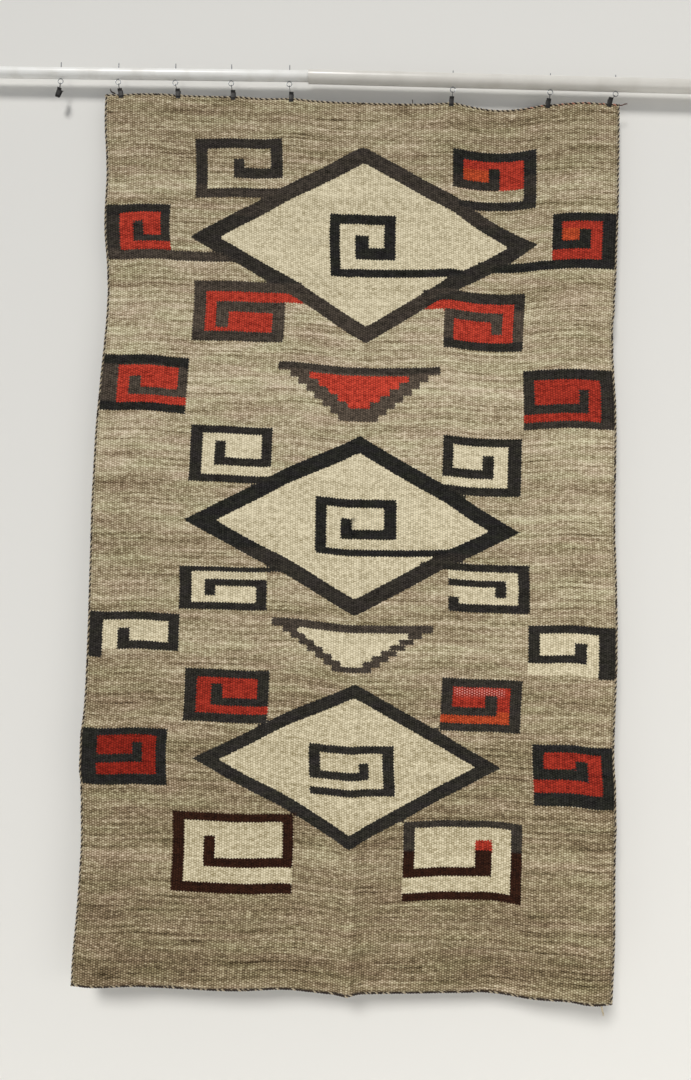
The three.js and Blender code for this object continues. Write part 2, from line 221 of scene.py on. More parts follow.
def carried(section: np.ndarray, path: np.ndarray, scale: np.ndarray | float = 1.0, closed: bool = False,
            facing: tuple[float, float, float] = (0.0, 1.0, 0.0)) -> Shell:
    """A closed shell made by carrying a section along a path, square to it at each point.

    Args:
        section: the section's corners, as (first, second).
        path: the points that it follows.
        scale: the section's size at each point.
        closed: whether the path runs back to its start. Otherwise both ends are capped.
        facing: the direction that the section's first axis leans to.

    Returns:
        The points and the faces, which face outwards.
    """
    across, up = square_to(path, facing, closed)
    size = np.broadcast_to(np.asarray(scale, float), (len(path),))[:, None, None]
    ring = section[None, :, :1] * across[:, None] + section[None, :, 1:] * up[:, None]
    points = (path[:, None] + size * ring).reshape(-1, 3)
    sides, count = len(section), len(path)
    i = np.arange(count if closed else count - 1)[:, None] * sides
    j = (i + sides) % (count * sides)
    k = np.arange(sides)[None]
    m = (k + 1) % sides
    faces = np.stack([i + k, i + m, j + m, j + k], -1).reshape(-1, 4).tolist()
    if not closed:
        faces.append(list(range(sides))[::-1])
        faces.append(list(range((count - 1) * sides, count * sides)))
    return points, faces


def joined(shells: list[Shell]) -> tuple[np.ndarray, list, np.ndarray]:
    """Several shells as one mesh.

    Args:
        shells: the shells.

    Returns:
        The points, the faces, and the number of the shell that each point came from.
    """
    starts = np.cumsum([0] + [len(points) for points, _ in shells])
    faces = [[int(v + start) for v in face] for (_, own), start in zip(shells, starts) for face in own]
    number = np.repeat(np.arange(len(shells)), [len(points) for points, _ in shells])
    return np.concatenate([points for points, _ in shells]), faces, number


def new_piece(name: str, points: np.ndarray, faces: list, finish: bpy.types.Material, slot: str,
              stands_for: list[str], marks: dict[str, np.ndarray] | None = None) -> bpy.types.Object:
    """Makes a piece that rides on the part's one body.

    Args:
        name: the piece's name.
        points: its points in millimetres in the part's frame.
        faces: its faces.
        finish: its material.
        slot: the record's slot that the finish belongs to. Not used.
        stands_for: the CAD nodes that it replaces.
        marks: named numbers on its points that the material reads.

    Returns:
        The piece's object, at the origin.
    """
    mesh = bpy.data.meshes.new(name)
    mesh.from_pydata((points * MM).tolist(), [], faces)
    mesh.polygons.foreach_set("use_smooth", np.ones(len(mesh.polygons), bool))
    for mark, values in (marks or {}).items():
        data = mesh.attributes.new(mark, "FLOAT", "POINT").data
        data.foreach_set("value", values.astype(np.float32).ravel())
    mesh.materials.append(finish)
    mesh.update()
    piece = bpy.data.objects.new(name, mesh)
    bpy.context.scene.collection.objects.link(piece)
    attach(piece, "root")
    if stands_for:
        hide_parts(*stands_for)
    LOG.info("%s: %d faces, stands for %s", name, len(mesh.polygons), stands_for or "nothing")
    return piece


class Dye(Enum):
    """The yarns of the pattern, each named as the number on the cloth's points that says where it lies."""

    FIELD = "field"
    CREAM = "cream"
    RED = "red"
    ORANGE = "orange"
    DARK = "dark"


class Edge(Enum):
    """An edge of the cloth, named as its cord's node is."""

    TOP = "top"
    HEM = "hem"
    LEFT = "left"
    RIGHT = "right"

    @property
    def level(self) -> bool:
        """Whether it runs across the cloth."""
        return self in (Edge.TOP, Edge.HEM)


class Leaves(Enum):
    """The way in which a loose end of yarn leaves its cord."""

    UP = "up"
    DOWN = "down"
    END = "end"


@dataclass(frozen=True)
class Bar:
    """A woven bar between two places across and two places down, in its motif's own level."""

    left: float
    right: float
    top: float
    bottom: float
    dye: Dye = Dye.DARK

    def reach(self, across: np.ndarray, down: np.ndarray) -> tuple[np.ndarray, np.ndarray]:
        """How far each place is outside the bar across, and down. Minus is inside."""
        return (np.abs(across - (self.left + self.right) / 2) - (self.right - self.left) / 2,
                np.abs(down - (self.top + self.bottom) / 2) - (self.bottom - self.top) / 2)


def nearest(bars: list[Bar], across: np.ndarray, down: np.ndarray) -> tuple[np.ndarray, np.ndarray]:
    """How far each place is outside a group of bars, as the least of its distances from each.

    Args:
        bars: the group.
        across: places across.
        down: places down.

    Returns:
        The distances, and 1 where the nearest edge is an upright one, 0 where it is not.
    """
    off, upright = np.full(across.shape, FAR_OFF), np.zeros(across.shape)
    for bar in bars:
        sideways, above = bar.reach(across, down)
        own = np.maximum(sideways, above)
        take = own < off
        off[take] = own[take]
        upright[take] = (sideways > above)[take]
    return off, upright


@dataclass(frozen=True)
class Motif:
    """A group of bars that were woven together: dark ones over fills, with holes that show the fill.

    lean is how far the group falls from its left end to its right one, and arch how far its middle lies
    above its ends. lots are the places down where a lot of dark yarn starts, each with its tone: 0 black,
    0.5 or more greyed, and over 0.8 brown. glow runs from 0, deep red, to 1, bright red.
    """

    dark: tuple[Bar, ...]
    fills: tuple[Bar, ...] = ()
    holes: tuple[Bar, ...] = ()
    lean: float = 0.0
    arch: float = 0.0
    lots: tuple[tuple[float, float], ...] = ((0.0, 0.0),)
    glow: float = 0.5

    def level(self, across: np.ndarray) -> np.ndarray:
        """The motif's own level: a straight line that leans, less a parabola for its arch.

        Args:
            across: places across.

        Returns:
            How far down the level lies at each.
        """
        bars = self.dark or self.fills
        left = min(bar.left for bar in bars)
        right = max(bar.right for bar in bars)
        t = np.clip((across - left) / (right - left), 0.0, 1.0)
        return self.lean * (t - 0.5) - self.arch * (4.0 * t * (1.0 - t) - 0.5)

    def tone(self, down: np.ndarray) -> np.ndarray:
        """The tone of the dark yarn's lot at each place down."""
        starts, tones = np.array(self.lots, float).T
        return tones[np.clip(np.searchsorted(starts, down, "right") - 1, 0, len(tones) - 1)]


@dataclass(frozen=True)
class Fret:
    """A square hook: a long bar, a head, a short bar, a shelf from it, a hook on the shelf, and a foot.

    Places across are the outer and inner faces of the long bar, the hook and the short bar. Places down
    are the two faces of the head, the hook's free end, and the faces of the shelf and the foot. A fret
    whose head is lower than its foot is woven upside down. The channel is the gap between shelf and foot.
    """

    across: tuple[float, float, float, float, float, float]
    down: tuple[float, float, float, float, float, float, float]
    runs_to: float | None = None
    fill: Dye = Dye.FIELD
    channel: Dye = Dye.FIELD
    channel_to: float | None = None
    heart: Dye | None = None
    heart_from: float = 0.0
    short_from: float | None = None
    short_whole: bool = False
    has_foot: bool = True
    lean: float = 0.0
    arch: float = 0.0
    lots: tuple[tuple[float, float], ...] = ((0.0, 0.0),)
    glow: float = 0.5

    def bar(self, a: float, b: float, c: float, d: float, dye: Dye = Dye.DARK) -> Bar:
        """A bar between two places across and two down, given in either order."""
        return Bar(min(a, b), max(a, b), min(c, d), max(c, d), dye)

    def motif(self) -> Motif:
        """The fret's dark bars, over the fills that lie between them."""
        outer, inner, hook_out, hook_in, short_in, short_out = self.across
        head, under, hook_end, shelf, below, foot, base = self.down
        shelf_mid, foot_mid = (shelf + below) / 2, (foot + base) / 2
        fills = []
        if self.fill is not Dye.FIELD:
            fills.append(self.bar((outer + inner) / 2, (short_in + short_out) / 2, (head + under) / 2,
                                  below, self.fill))
        if self.channel is not Dye.FIELD:
            fills.append(self.bar((outer + inner) / 2, short_out, shelf_mid, foot_mid, self.channel))
            if self.channel_to is not None:
                fills.append(self.bar(short_in, self.channel_to, below, foot_mid, self.channel))
        if self.heart is not None:
            fills.append(self.bar((hook_out + hook_in) / 2, (short_in + short_out) / 2, self.heart_from,
                                  shelf_mid, self.heart))
        short_end = below if self.short_from is None else head
        dark = [
            self.bar(outer, inner, head, base),
            self.bar(outer, short_out, head, under),
            self.bar(short_in, short_out, head if self.short_from is None else self.short_from,
                     base if self.short_whole else short_end),
            self.bar(hook_out, short_out, shelf, below),
            self.bar(hook_out, hook_in, hook_end, below),
        ]
        if self.has_foot:
            dark.append(self.bar(outer, short_out if self.runs_to is None else self.runs_to, foot, base))
        return Motif(tuple(dark), tuple(fills), (), self.lean, self.arch, self.lots, self.glow)


@dataclass(frozen=True)
class SteppedTriangle:
    """A bar over a triangle whose sides go down in steps, with a border round a filled middle.

    Each floor is a bar that hangs from the cap, narrower and longer than the one before it, and so is
    each floor of the filled middle.
    """

    middle: float
    top: float
    cap: float
    bar_half: float
    first_half: float
    last_half: float
    floors: int
    floor: float
    first_fill: float
    last_fill: float
    fill_floors: int
    fill: Dye
    lean: float = 0.0
    lots: tuple[tuple[float, float], ...] = ((0.0, 0.0),)
    glow: float = 0.5
    under_border: float = 6.0

    def floors_of(self, first: float, last: float, count: int, dye: Dye) -> list[Bar]:
        """The nested bars of a stepped shape.

        Args:
            first: half the width of the widest floor.
            last: half the width of the narrowest.
            count: how many floors there are.
            dye: their yarn.

        Returns:
            The bars, from the widest to the narrowest.
        """
        under = self.top + self.cap
        return [Bar(self.middle - half, self.middle + half, self.top if dye is Dye.DARK else under,
                    under + (number + 1) * self.floor, dye)
                for number, half in enumerate(np.linspace(first, last, count))]

    def motif(self) -> Motif:
        """The cap and the outer floors, with the filled floors as a hole in them."""
        cap = Bar(self.middle - self.bar_half, self.middle + self.bar_half, self.top, self.top + self.cap)
        dark = [cap, *self.floors_of(self.first_half, self.last_half, self.floors, Dye.DARK)]
        fills = tuple(self.floors_of(self.first_fill, self.last_fill, self.fill_floors, self.fill))
        grow = self.under_border
        under = tuple(Bar(bar.left - grow, bar.right + grow, bar.top - grow, bar.bottom + grow, self.fill)
                      for bar in fills)
        return Motif(tuple(dark), under, fills, self.lean, 0.0, self.lots, self.glow)


@dataclass(frozen=True)
class Diamond:
    """A dark ring of even width round a cream lozenge, given by the ring's four outer corners."""

    top: tuple[float, float]
    left: tuple[float, float]
    bottom: tuple[float, float]
    right: tuple[float, float]
    ring: float
    lots: tuple[tuple[float, float], ...] = ((0.0, 0.0),)

    def distance(self, across: np.ndarray, down: np.ndarray) -> np.ndarray:
        """How far each place is outside the ring's outer sides: the most of its distances square to each.

        Args:
            across: places across.
            down: places down.

        Returns:
            The distances. Minus is inside.
        """
        corners = [self.top, self.right, self.bottom, self.left]
        off = np.full(across.shape, -FAR_OFF)
        for (x0, y0), (x1, y1) in zip(corners, corners[1:] + corners[:1]):
            own = ((across - x0) * (y1 - y0) - (down - y0) * (x1 - x0)) / math.hypot(x1 - x0, y1 - y0)
            off = np.maximum(off, own)
        return off


@dataclass
class Pattern:
    """The rug's design: three diamonds in a column, frets round and in them, and two stepped triangles."""

    far: float = 24.0
    brown_from: float = 0.8
    worn_fade: float = 6.0
    fill_yields: float = 0.4
    diamonds: tuple[Diamond, ...] = (
        Diamond((8, 108), (-432, 360), (20, 608), (451, 352), 37, ((0, 0.2), (300, 0.08), (470, 0.25))),
        Diamond((14, 840), (-420, 1069), (9, 1286), (417, 1073), 37, ((0, 0.0), (1130, 0.1))),
        Diamond((13, 1451), (-375, 1648), (6, 1849), (380, 1653), 30, ((0, 0.05),)),
    )
    frets: tuple[Fret, ...] = (
        Fret((-420, -390, -324, -297, -230, -199), (103, 129, 156, 179, 206, 231, 255),
             runs_to=-205, lean=-8, lots=((0, 0.1), (222, 0.25))),
        Fret((-646, -611, -577, -551, -507, -483), (280, 301, 324, 359, 375, 396, 421),
             runs_to=-330, fill=Dye.RED, channel=Dye.RED, glow=0.7,
             lots=((0, 0.05), (310, 0.12), (394, 0.3))),
        Fret((443, 411, 351, 323, 259, 232), (109, 133, 151, 185, 208, 238, 261),
             runs_to=215, fill=Dye.RED, heart=Dye.ORANGE, heart_from=155, lean=-9,
             lots=((0, 0.0), (176, 0.12), (225, 0.05)), glow=0.6),
        Fret((646, 611, 582, 553, 510, 486), (277, 299, 319, 347, 369, 395, 419),
             runs_to=300, fill=Dye.RED, channel=Dye.RED, heart=Dye.ORANGE, heart_from=317, glow=0.55),
        Fret((-426, -394, -367, -334, -222, -190), (621, 596, 586, 547, 521, 496, 469),
             runs_to=-150, fill=Dye.RED, channel=Dye.RED, channel_to=-145, glow=0.75,
             lots=((0, 0.33), (540, 0.42), (590, 0.25))),
        Fret((422, 395, 368, 340, 244, 219), (620, 598, 577, 545, 522, 500, 473),
             runs_to=160, fill=Dye.RED, channel=Dye.RED, channel_to=150, glow=0.8,
             lots=((0, 0.1), (515, 0.36), (597, 0.05))),
        Fret((-646, -605, -576, -546, -453, -428), (664, 690, 717, 745, 764, 783, 804),
             fill=Dye.RED, channel=Dye.RED, lean=6, lots=((0, 0.0), (690, 0.35), (783, 0.0)), glow=0.75),
        Fret((646, 612, 582, 558, 449, 421), (672, 698, 724, 759, 782, 802, 820),
             fill=Dye.RED, channel=Dye.RED, lean=4, lots=((0, 0.05), (698, 0.1), (802, 0.15)), glow=0.45),
        Fret((-410, -379, -348, -321, -231, -205), (834, 853, 872, 912, 932, 955, 974),
             runs_to=-200, fill=Dye.CREAM, channel=Dye.CREAM, lean=4, lots=((0, 0.05),)),
        Fret((418, 384, 350, 321, 248, 222), (840, 861, 883, 919, 942, 963, 985),
             runs_to=190, fill=Dye.CREAM, channel=Dye.CREAM, lots=((0, 0.05),)),
        Fret((-426, -395, -363, -336, -236, -209), (1287, 1269, 1253, 1229, 1212, 1194, 1182),
             runs_to=-170, fill=Dye.CREAM, channel=Dye.CREAM, lean=-2, lots=((0, 0.05),)),
        Fret((439, 411, 381, 354, 265, 239), (1274, 1253, 1236, 1211, 1194, 1173, 1154),
             runs_to=170, fill=Dye.CREAM, channel=Dye.CREAM, short_from=1238, lots=((0, 0.05),)),
        Fret((-646, -612, -575, -546, -451, -424), (1300, 1320, 1340, 1371, 1391, 1403, 1412),
             fill=Dye.CREAM, has_foot=False, lean=3, lots=((0, 0.05),)),
        Fret((646, 604, 575, 546, 463, 435), (1304, 1324, 1347, 1377, 1396, 1420, 1430),
             fill=Dye.CREAM, channel=Dye.CREAM, has_foot=False, lean=5, lots=((0, 0.05),)),
        Fret((-405, -375, -339, -311, -226, -197), (1432, 1452, 1467, 1500, 1519, 1538, 1560),
             fill=Dye.RED, channel=Dye.RED, lean=3, lots=((0, 0.05),), glow=0.4),
        Fret((424, 396, 365, 335, 255, 227), (1437, 1458, 1477, 1506, 1527, 1546, 1566),
             fill=Dye.RED, channel=Dye.ORANGE, lots=((0, 0.1),), glow=0.5),
        Fret((-439, -465, -498, -522, -608, -646), (1581, 1598, 1616, 1644, 1664, 1692, 1717),
             fill=Dye.RED, channel=Dye.RED, short_whole=True, glow=0.1),
        Fret((646, 617, 584, 556, 481, 455), (1592, 1611, 1630, 1651, 1676, 1707, 1739),
             fill=Dye.RED, channel=Dye.RED, lean=4, glow=0.35),
        Fret((-426, -397, -350, -322, -157, -131), (1777, 1797, 1832, 1882, 1905, 1942, 1967),
             fill=Dye.CREAM, channel=Dye.CREAM, lean=3, lots=((0, 1.0),)),
        Fret((428, 401, 355, 314, 166, 138), (1783, 1800, 1855, 1896, 1918, 1955, 1975),
             fill=Dye.CREAM, channel=Dye.CREAM, arch=5, lots=((0, 0.15), (1852, 1.0))),
        Fret((-76, -50, -11, 23, 62, 91), (283, 308, 336, 366, 397, 421, 442), runs_to=290),
        Fret((-91, -63, -28, 0, 80, 111), (999, 1020, 1047, 1074, 1098, 1123, 1140),
             runs_to=270, lean=4),
        Fret((118, 90, 56, 32, -62, -90), (1602, 1621, 1644, 1665, 1685, 1706, 1724),
             lots=((0, 0.05),)),
    )
    triangles: tuple[SteppedTriangle, ...] = (
        SteppedTriangle(7, 669, 21, 206, 175, 50, 7, 16.4, 126, 28, 5, Dye.RED,
                        lots=((0, 0.2), (690, 0.65)), glow=1.0),
        SteppedTriangle(3, 1307, 20, 199, 172, 49, 7, 13.9, 137, 27, 6, Dye.CREAM,
                        lean=6, lots=((0, 0.3),)),
    )
    red_square: Bar = Bar(314, 356, 1829, 1862, Dye.RED)
    worn_strip: Bar = Bar(258, 384, 1460, 1478)

    def worn(self, across: np.ndarray, down: np.ndarray) -> np.ndarray:
        """1 in the strips where the red's dye has worn to pale flecks, and 0 elsewhere."""
        off, _ = nearest([self.worn_strip], across, down)
        return np.clip(0.5 - off / self.worn_fade, 0.0, 1.0)

    def motifs(self) -> list[Motif]:
        """Every group of bars, the red square on the last fret's hook included."""
        woven = [fret.motif() for fret in self.frets] + [triangle.motif() for triangle in self.triangles]
        return woven + [Motif((), (self.red_square,), glow=0.7)]

    def met_by(self, across: np.ndarray, down: np.ndarray, cell: tuple[float, float]) -> tuple:
        """Moves a grid's points less than half a cell so that they meet the bars' edges.

        A point within half a cell of a bar's side, and beside that side, takes its place across, and one
        within half a cell of its top or bottom takes its place down, so that both meet at each corner. The
        edge of a fill yields to a dark one that is about as near.

        Args:
            across: the grid's places across.
            down: its places down.
            cell: the grid's step across and down.

        Returns:
            The moved places across and down.
        """
        moved, best = [across.copy(), down.copy()], [np.full(across.shape, c / 2) for c in cell]
        for motif in self.motifs():
            level = motif.level(across)
            for bar in (*motif.dark, *motif.holes, *(() if motif.holes else motif.fills)):
                beside = (down - level > bar.top - cell[1] / 2) & (down - level < bar.bottom + cell[1] / 2)
                above = (across > bar.left - cell[0] / 2) & (across < bar.right + cell[0] / 2)
                for axis, here, near, edges in ((0, across, beside, (bar.left, bar.right)),
                                                (1, down - level, above, (bar.top, bar.bottom))):
                    for edge in edges:
                        off = np.abs(here - edge) + (0.0 if bar.dye is Dye.DARK else self.fill_yields)
                        take = near & (off < best[axis])
                        best[axis][take] = off[take]
                        moved[axis][take] = (edge + axis * level)[take]
        return moved[0], moved[1]

    def woven(self, across: np.ndarray, down: np.ndarray) -> dict[str, np.ndarray]:
        """How far each place is outside each yarn's area in millimetres, and the yarns' tones there.

        An area is the union of its bars, so its distance is the least of theirs. The diamonds' rings are
        dark, what they hold is cream, and no other fill lies in them.

        Args:
            across: places across.
            down: places down.

        Returns:
            The distances by yarn, the tone and glow of the nearest motif, and 1 in "upright" where the
            nearest edge runs down the cloth, 0 where it runs across, and 0.5 at the diamonds.
        """
        lies = {dye.value: np.full(across.shape, self.far) for dye in Dye if dye is not Dye.FIELD}
        tone, glow, upright = np.zeros(across.shape), np.full(across.shape, 0.5), np.zeros(across.shape)
        nearest_dark, nearest_edge = np.full(across.shape, FAR_OFF), np.full(across.shape, FAR_OFF)
        for motif in self.motifs():
            straight = down - motif.level(across)
            dark, flag = nearest(list(motif.dark), across, straight)
            if motif.holes:
                hole, hole_flag = nearest(list(motif.holes), across, straight)
                flag = np.where(-hole > dark, hole_flag, flag)
                dark = np.maximum(dark, -hole)
            fills = {dye: nearest([bar for bar in motif.fills if bar.dye is dye], across, straight)
                     for dye in {bar.dye for bar in motif.fills}}
            for off, own in ((dark, flag), *fills.values()):
                take = np.abs(off) < nearest_edge
                nearest_edge[take] = np.abs(off)[take]
                upright[take] = own[take]
            for dye, (off, _) in fills.items():
                lies[dye.value] = np.minimum(lies[dye.value], off)
            lies[Dye.DARK.value] = np.minimum(lies[Dye.DARK.value], dark)
            reach = np.minimum(dark, np.min([off for off, _ in fills.values()], 0)) if fills else dark
            take = reach < nearest_dark
            nearest_dark[take] = reach[take]
            tone[take], glow[take] = motif.tone(straight)[take], motif.glow
        for diamond in self.diamonds:
            off = diamond.distance(across, down)
            ring = np.abs(off + diamond.ring / 2) - diamond.ring / 2
            inside = off < -diamond.ring / 2
            for dye in (Dye.RED, Dye.ORANGE, Dye.CREAM):
                lies[dye.value] = np.maximum(lies[dye.value], np.where(inside, -off, -self.far))
            lies[Dye.CREAM.value] = np.minimum(lies[Dye.CREAM.value], off + diamond.ring / 2)
            take = (ring < nearest_dark) & (ring < lies[Dye.DARK.value])
            starts, tones = np.array(diamond.lots, float).T
            tone[take] = tones[np.clip(np.searchsorted(starts, down, "right") - 1, 0, len(tones) - 1)][take]
            upright[np.abs(ring) < nearest_edge] = 0.5
            lies[Dye.DARK.value] = np.minimum(lies[Dye.DARK.value], ring)
        held = {name: np.clip(values, -self.far, self.far) for name, values in lies.items()}
        brown = (tone > self.brown_from).astype(float)
        return {**held, "tone": tone * (1.0 - brown), "brown": brown, "glow": glow, "upright": upright}


@dataclass
class HungCloth:
    """The woven cloth as it hangs: bays between the clips, waves at the hem, and a crease down its middle.

    bays are the clips and the corners: a place across, how far it lies below the rod, and the sag and the
    bow of the bay to its right. The hem is given by its place across, height and depth, the sides and the
    crease by a place down and one across. A pucker is given by its two lengths and its height, and a tuck
    by its middle across and down, slope, two half sizes and height.
    """

    wide: float = 1290.0
    long: float = 2190.0
    thick: float = 3.0
    bays: np.ndarray = field(default_factory=lambda: np.array([
        (-644, 56, 0, 0), (-610, 56, -5, 3), (-464, 55, 2, -2), (-324, 57, 1, 3), (-177, 60, 11, -7),
        (226, 66, 14, 5), (468, 68, -2, -4), (622, 63, 0, 0), (641, 65, 0, 0)], float))
    hem: np.ndarray = field(default_factory=lambda: np.array([
        (-641, 2243, -12), (-589, 2246, -12), (-514, 2243, -8), (-459, 2244, -4), (-361, 2245, -6),
        (-242, 2246, -5), (-150, 2241, -2), (-77, 2246, 2), (-15, 2252, 5), (12, 2251, 5), (60, 2249, 6),
        (188, 2246, 12), (300, 2242, 14), (360, 2241, 15), (445, 2247, 5), (490, 2244, -8),
        (540, 2242, -16), (590, 2247, -20), (635, 2246, -14)], float))
    left_side: np.ndarray = field(default_factory=lambda: np.array([
        (56, -643), (130, -642), (250, -633), (390, -633), (510, -621), (640, -620), (770, -628),
        (957, -636), (1200, -637), (1570, -636), (1693, -643), (1830, -634), (2000, -632), (2170, -640),
        (2243, -641)], float))
    right_side: np.ndarray = field(default_factory=lambda: np.array([
        (65, 641), (240, 641), (430, 638), (560, 633), (650, 629), (745, 632), (840, 638), (1100, 637),
        (1420, 644), (1660, 637), (1760, 642), (2000, 641), (2150, 640), (2246, 635)], float))
    crease_line: np.ndarray = field(default_factory=lambda: np.array([(0, -26), (0.25, 6), (1, 14)], float))
    grip_half: float = 9.0
    top_flat: float = 26.0
    bow_fade: float = 420.0
    hem_growth: float = 1.6
    crease_from: float = 130.0
    crease_half: float = 34.0
    crease_rise: float = 15.0
    crease_at_top: float = 0.25
    crease_sharpness: float = 1.4
    pucker_held: float = 160.0
    slow_pucker: tuple[float, float, float] = (610.0, 740.0, 3.0)
    fine_pucker: tuple[float, float, float] = (190.0, 260.0, 1.1)
    ripple: tuple[float, float, float] = (130.0, 560.0, 3.6)
    ripple_drift: tuple[float, float] = (700.0, 16.0)
    tucks: tuple[tuple[float, float, float, float, float, float], ...] = (
        (545, 1776, 0.10, 95, 15, 8.0), (300, 2068, 0.05, 280, 14, 6.0), (330, 2016, 0.0, 160, 14, 4.5),
        (-170, 2022, 0.06, 160, 14, 5.5), (-10, 2090, -0.10, 90, 16, 4.5), (500, 1887, 0.05, 110, 12, 3.5),
        (560, 1093, 0.0, 120, 14, -6.0), (-100, 1285, 0.03, 180, 11, 4.0))
    columns: int = 125
    rows: int = 388

    def bay(self, x: np.ndarray) -> tuple[np.ndarray, np.ndarray, np.ndarray]:
        """The bay that a place lies in. Its curve starts and ends a little beside the clips.

        Args:
            x: places across, as the cloth hangs.

        Returns:
            The rows of the clips on the left and right of each place, and its share of the way between.
        """
        i = np.clip(np.searchsorted(self.bays[:, 0], x), 1, len(self.bays) - 1)
        left, right = self.bays[i - 1], self.bays[i]
        span = right[..., 0] - left[..., 0]
        flat = np.where(span > 4 * self.grip_half, self.grip_half, 0.0)
        return left, right, np.clip((x - left[..., 0] - flat) / (span - 2 * flat), 0.0, 1.0)

    def top_drop(self, x: np.ndarray) -> np.ndarray:
        """How far the top edge lies below the rod: straight from clip to clip, less a parabola's sag."""
        left, right, t = self.bay(x)
        return left[..., 1] + (right[..., 1] - left[..., 1]) * t + left[..., 2] * 4 * t * (1 - t)

    def crease(self, x: np.ndarray, drop: np.ndarray, v: np.ndarray) -> np.ndarray:
        """How far the crease stands out: a ridge of a power of the distance, growing down the cloth.

        Args:
            x: places across, as the cloth hangs.
            drop: how far below the rod they lie.
            v: their share of the way down the cloth.

        Returns:
            The depth that it adds, which is minus towards the front.
        """
        away = np.abs(x - through(self.crease_line, v)) / self.crease_half
        ridge = np.maximum(0.0, 1.0 - away) ** self.crease_sharpness
        begun = smooth((drop - self.crease_from) / self.crease_from)
        return -self.crease_rise * (self.crease_at_top + (1 - self.crease_at_top) * v * v) * begun * ridge

    def point(self, across: np.ndarray, down: np.ndarray) -> np.ndarray:
        """A point of the cloth's middle surface.

        Down the cloth a point moves from the top edge to the hem, and across it from the left side to the
        right one, in its share of the cloth's length and width. Its depth is the hem's wave, which grows
        down the cloth, with the bays' bow, which fades, and the crease.

        Args:
            across: places across the cloth.
            down: places down it.

        Returns:
            The points, in millimetres.
        """
        u, v = across / self.wide + 0.5, down / self.long
        top_x = self.bays[0, 0] + (self.bays[-1, 0] - self.bays[0, 0]) * u
        hem_x = self.hem[0, 0] + (self.hem[-1, 0] - self.hem[0, 0]) * u
        top = self.top_drop(top_x)
        drop = top + (through(self.hem, hem_x) - top) * v
        left, right = (through(side, side[0, 0] + (side[-1, 0] - side[0, 0]) * v)
                       for side in (self.left_side, self.right_side))
        x = left + (right - left) * u
        bay, _, t = self.bay(top_x)
        below = np.maximum(0.0, drop - top - self.top_flat)
        bow = bay[..., 3] * np.sin(np.pi * t) ** 2 * np.exp(-((below / self.bow_fade) ** 2))
        wave = through(self.hem, hem_x, 2) * np.maximum(v, 0.0) ** self.hem_growth
        return np.stack([x, wave + bow + self.crease(x, drop, v), -drop], -1)

    def puckers(self, across: np.ndarray, down: np.ndarray) -> np.ndarray:
        """The cloth's own unevenness in depth, none at its held top edge.

        It is a slow wave, a finer one, and low ripples that run across the cloth here and there and drift
        up and down on their way. Each is one wave times another that runs at a slant to it. The tucks are
        low ridges that fade out as bell curves.

        Args:
            across: places across the cloth.
            down: places down it.

        Returns:
            The depth that they add, which is minus towards the front.
        """
        long, tall, rise = self.slow_pucker
        depth = rise * waves(across + 0.5 * down, long, 3) * waves(down - 0.3 * across, tall, 4)
        long, tall, rise = self.fine_pucker
        depth += rise * waves(across - 0.8 * down, long, 5) * waves(down + 0.4 * across, tall, 6)
        drift = down + self.ripple_drift[1] * waves(across, self.ripple_drift[0], 8)
        tall, long, rise = self.ripple
        where = np.clip(waves(across + 0.4 * down, long, 10), 0.0, 1.0)
        depth += rise * waves(drift, tall, 9, 3) * where
        folded = np.zeros(across.shape)
        for middle, low, slope, half_wide, half_tall, rise in self.tucks:
            line = (down - low - slope * (across - middle)) / half_tall
            folded -= rise * np.exp(-line ** 2 - ((across - middle) / half_wide) ** 2)
        return smooth(down / self.pucker_held) * depth + folded

    def surface(self, across: np.ndarray, down: np.ndarray) -> tuple[np.ndarray, np.ndarray]:
        """The middle surface moved half a thickness either way, square to itself.

        Args:
            across: places across the cloth.
            down: places down it.

        Returns:
            The front surface's points and the back one's.
        """
        middle = self.point(across, down)
        middle[..., 1] += self.puckers(across, down)
        back = np.cross(np.gradient(middle, axis=0), np.gradient(middle, axis=1))
        back = back / np.linalg.norm(back, axis=-1, keepdims=True)
        return middle - back * self.thick / 2, middle + back * self.thick / 2

    def faces(self, dark: np.ndarray) -> list:
        """The front, the back turned round, and the rim that closes the sheet between them.

        A cell is split into triangles from its first corner to its third. A front cell starts at the corner
        that lays this cut where the dark yarn's distance is largest, so that the pattern's corners stay
        sharp.

        Args:
            dark: the distance from the dark yarn at each point.

        Returns:
            The faces.
        """
        wide, tall = self.columns + 1, self.rows + 1
        at = np.arange(wide * tall).reshape(wide, tall)
        back = wide * tall
        front = np.stack([at[:-1, :-1], at[:-1, 1:], at[1:, 1:], at[1:, :-1]], -1).reshape(-1, 4)
        off = dark.ravel()[front]
        turned = np.abs(off[:, 1] + off[:, 3]) > np.abs(off[:, 0] + off[:, 2])
        front = np.where(turned[:, None], np.roll(front, -1, 1), front)
        rim = np.concatenate([at[:-1, 0], at[-1, :-1], at[:0:-1, -1], at[0, :0:-1]])
        after = np.roll(rim, -1)
        edge = np.stack([rim, after, after + back, rim + back], -1)
        return np.concatenate([front, (front + back)[:, ::-1], edge]).tolist()

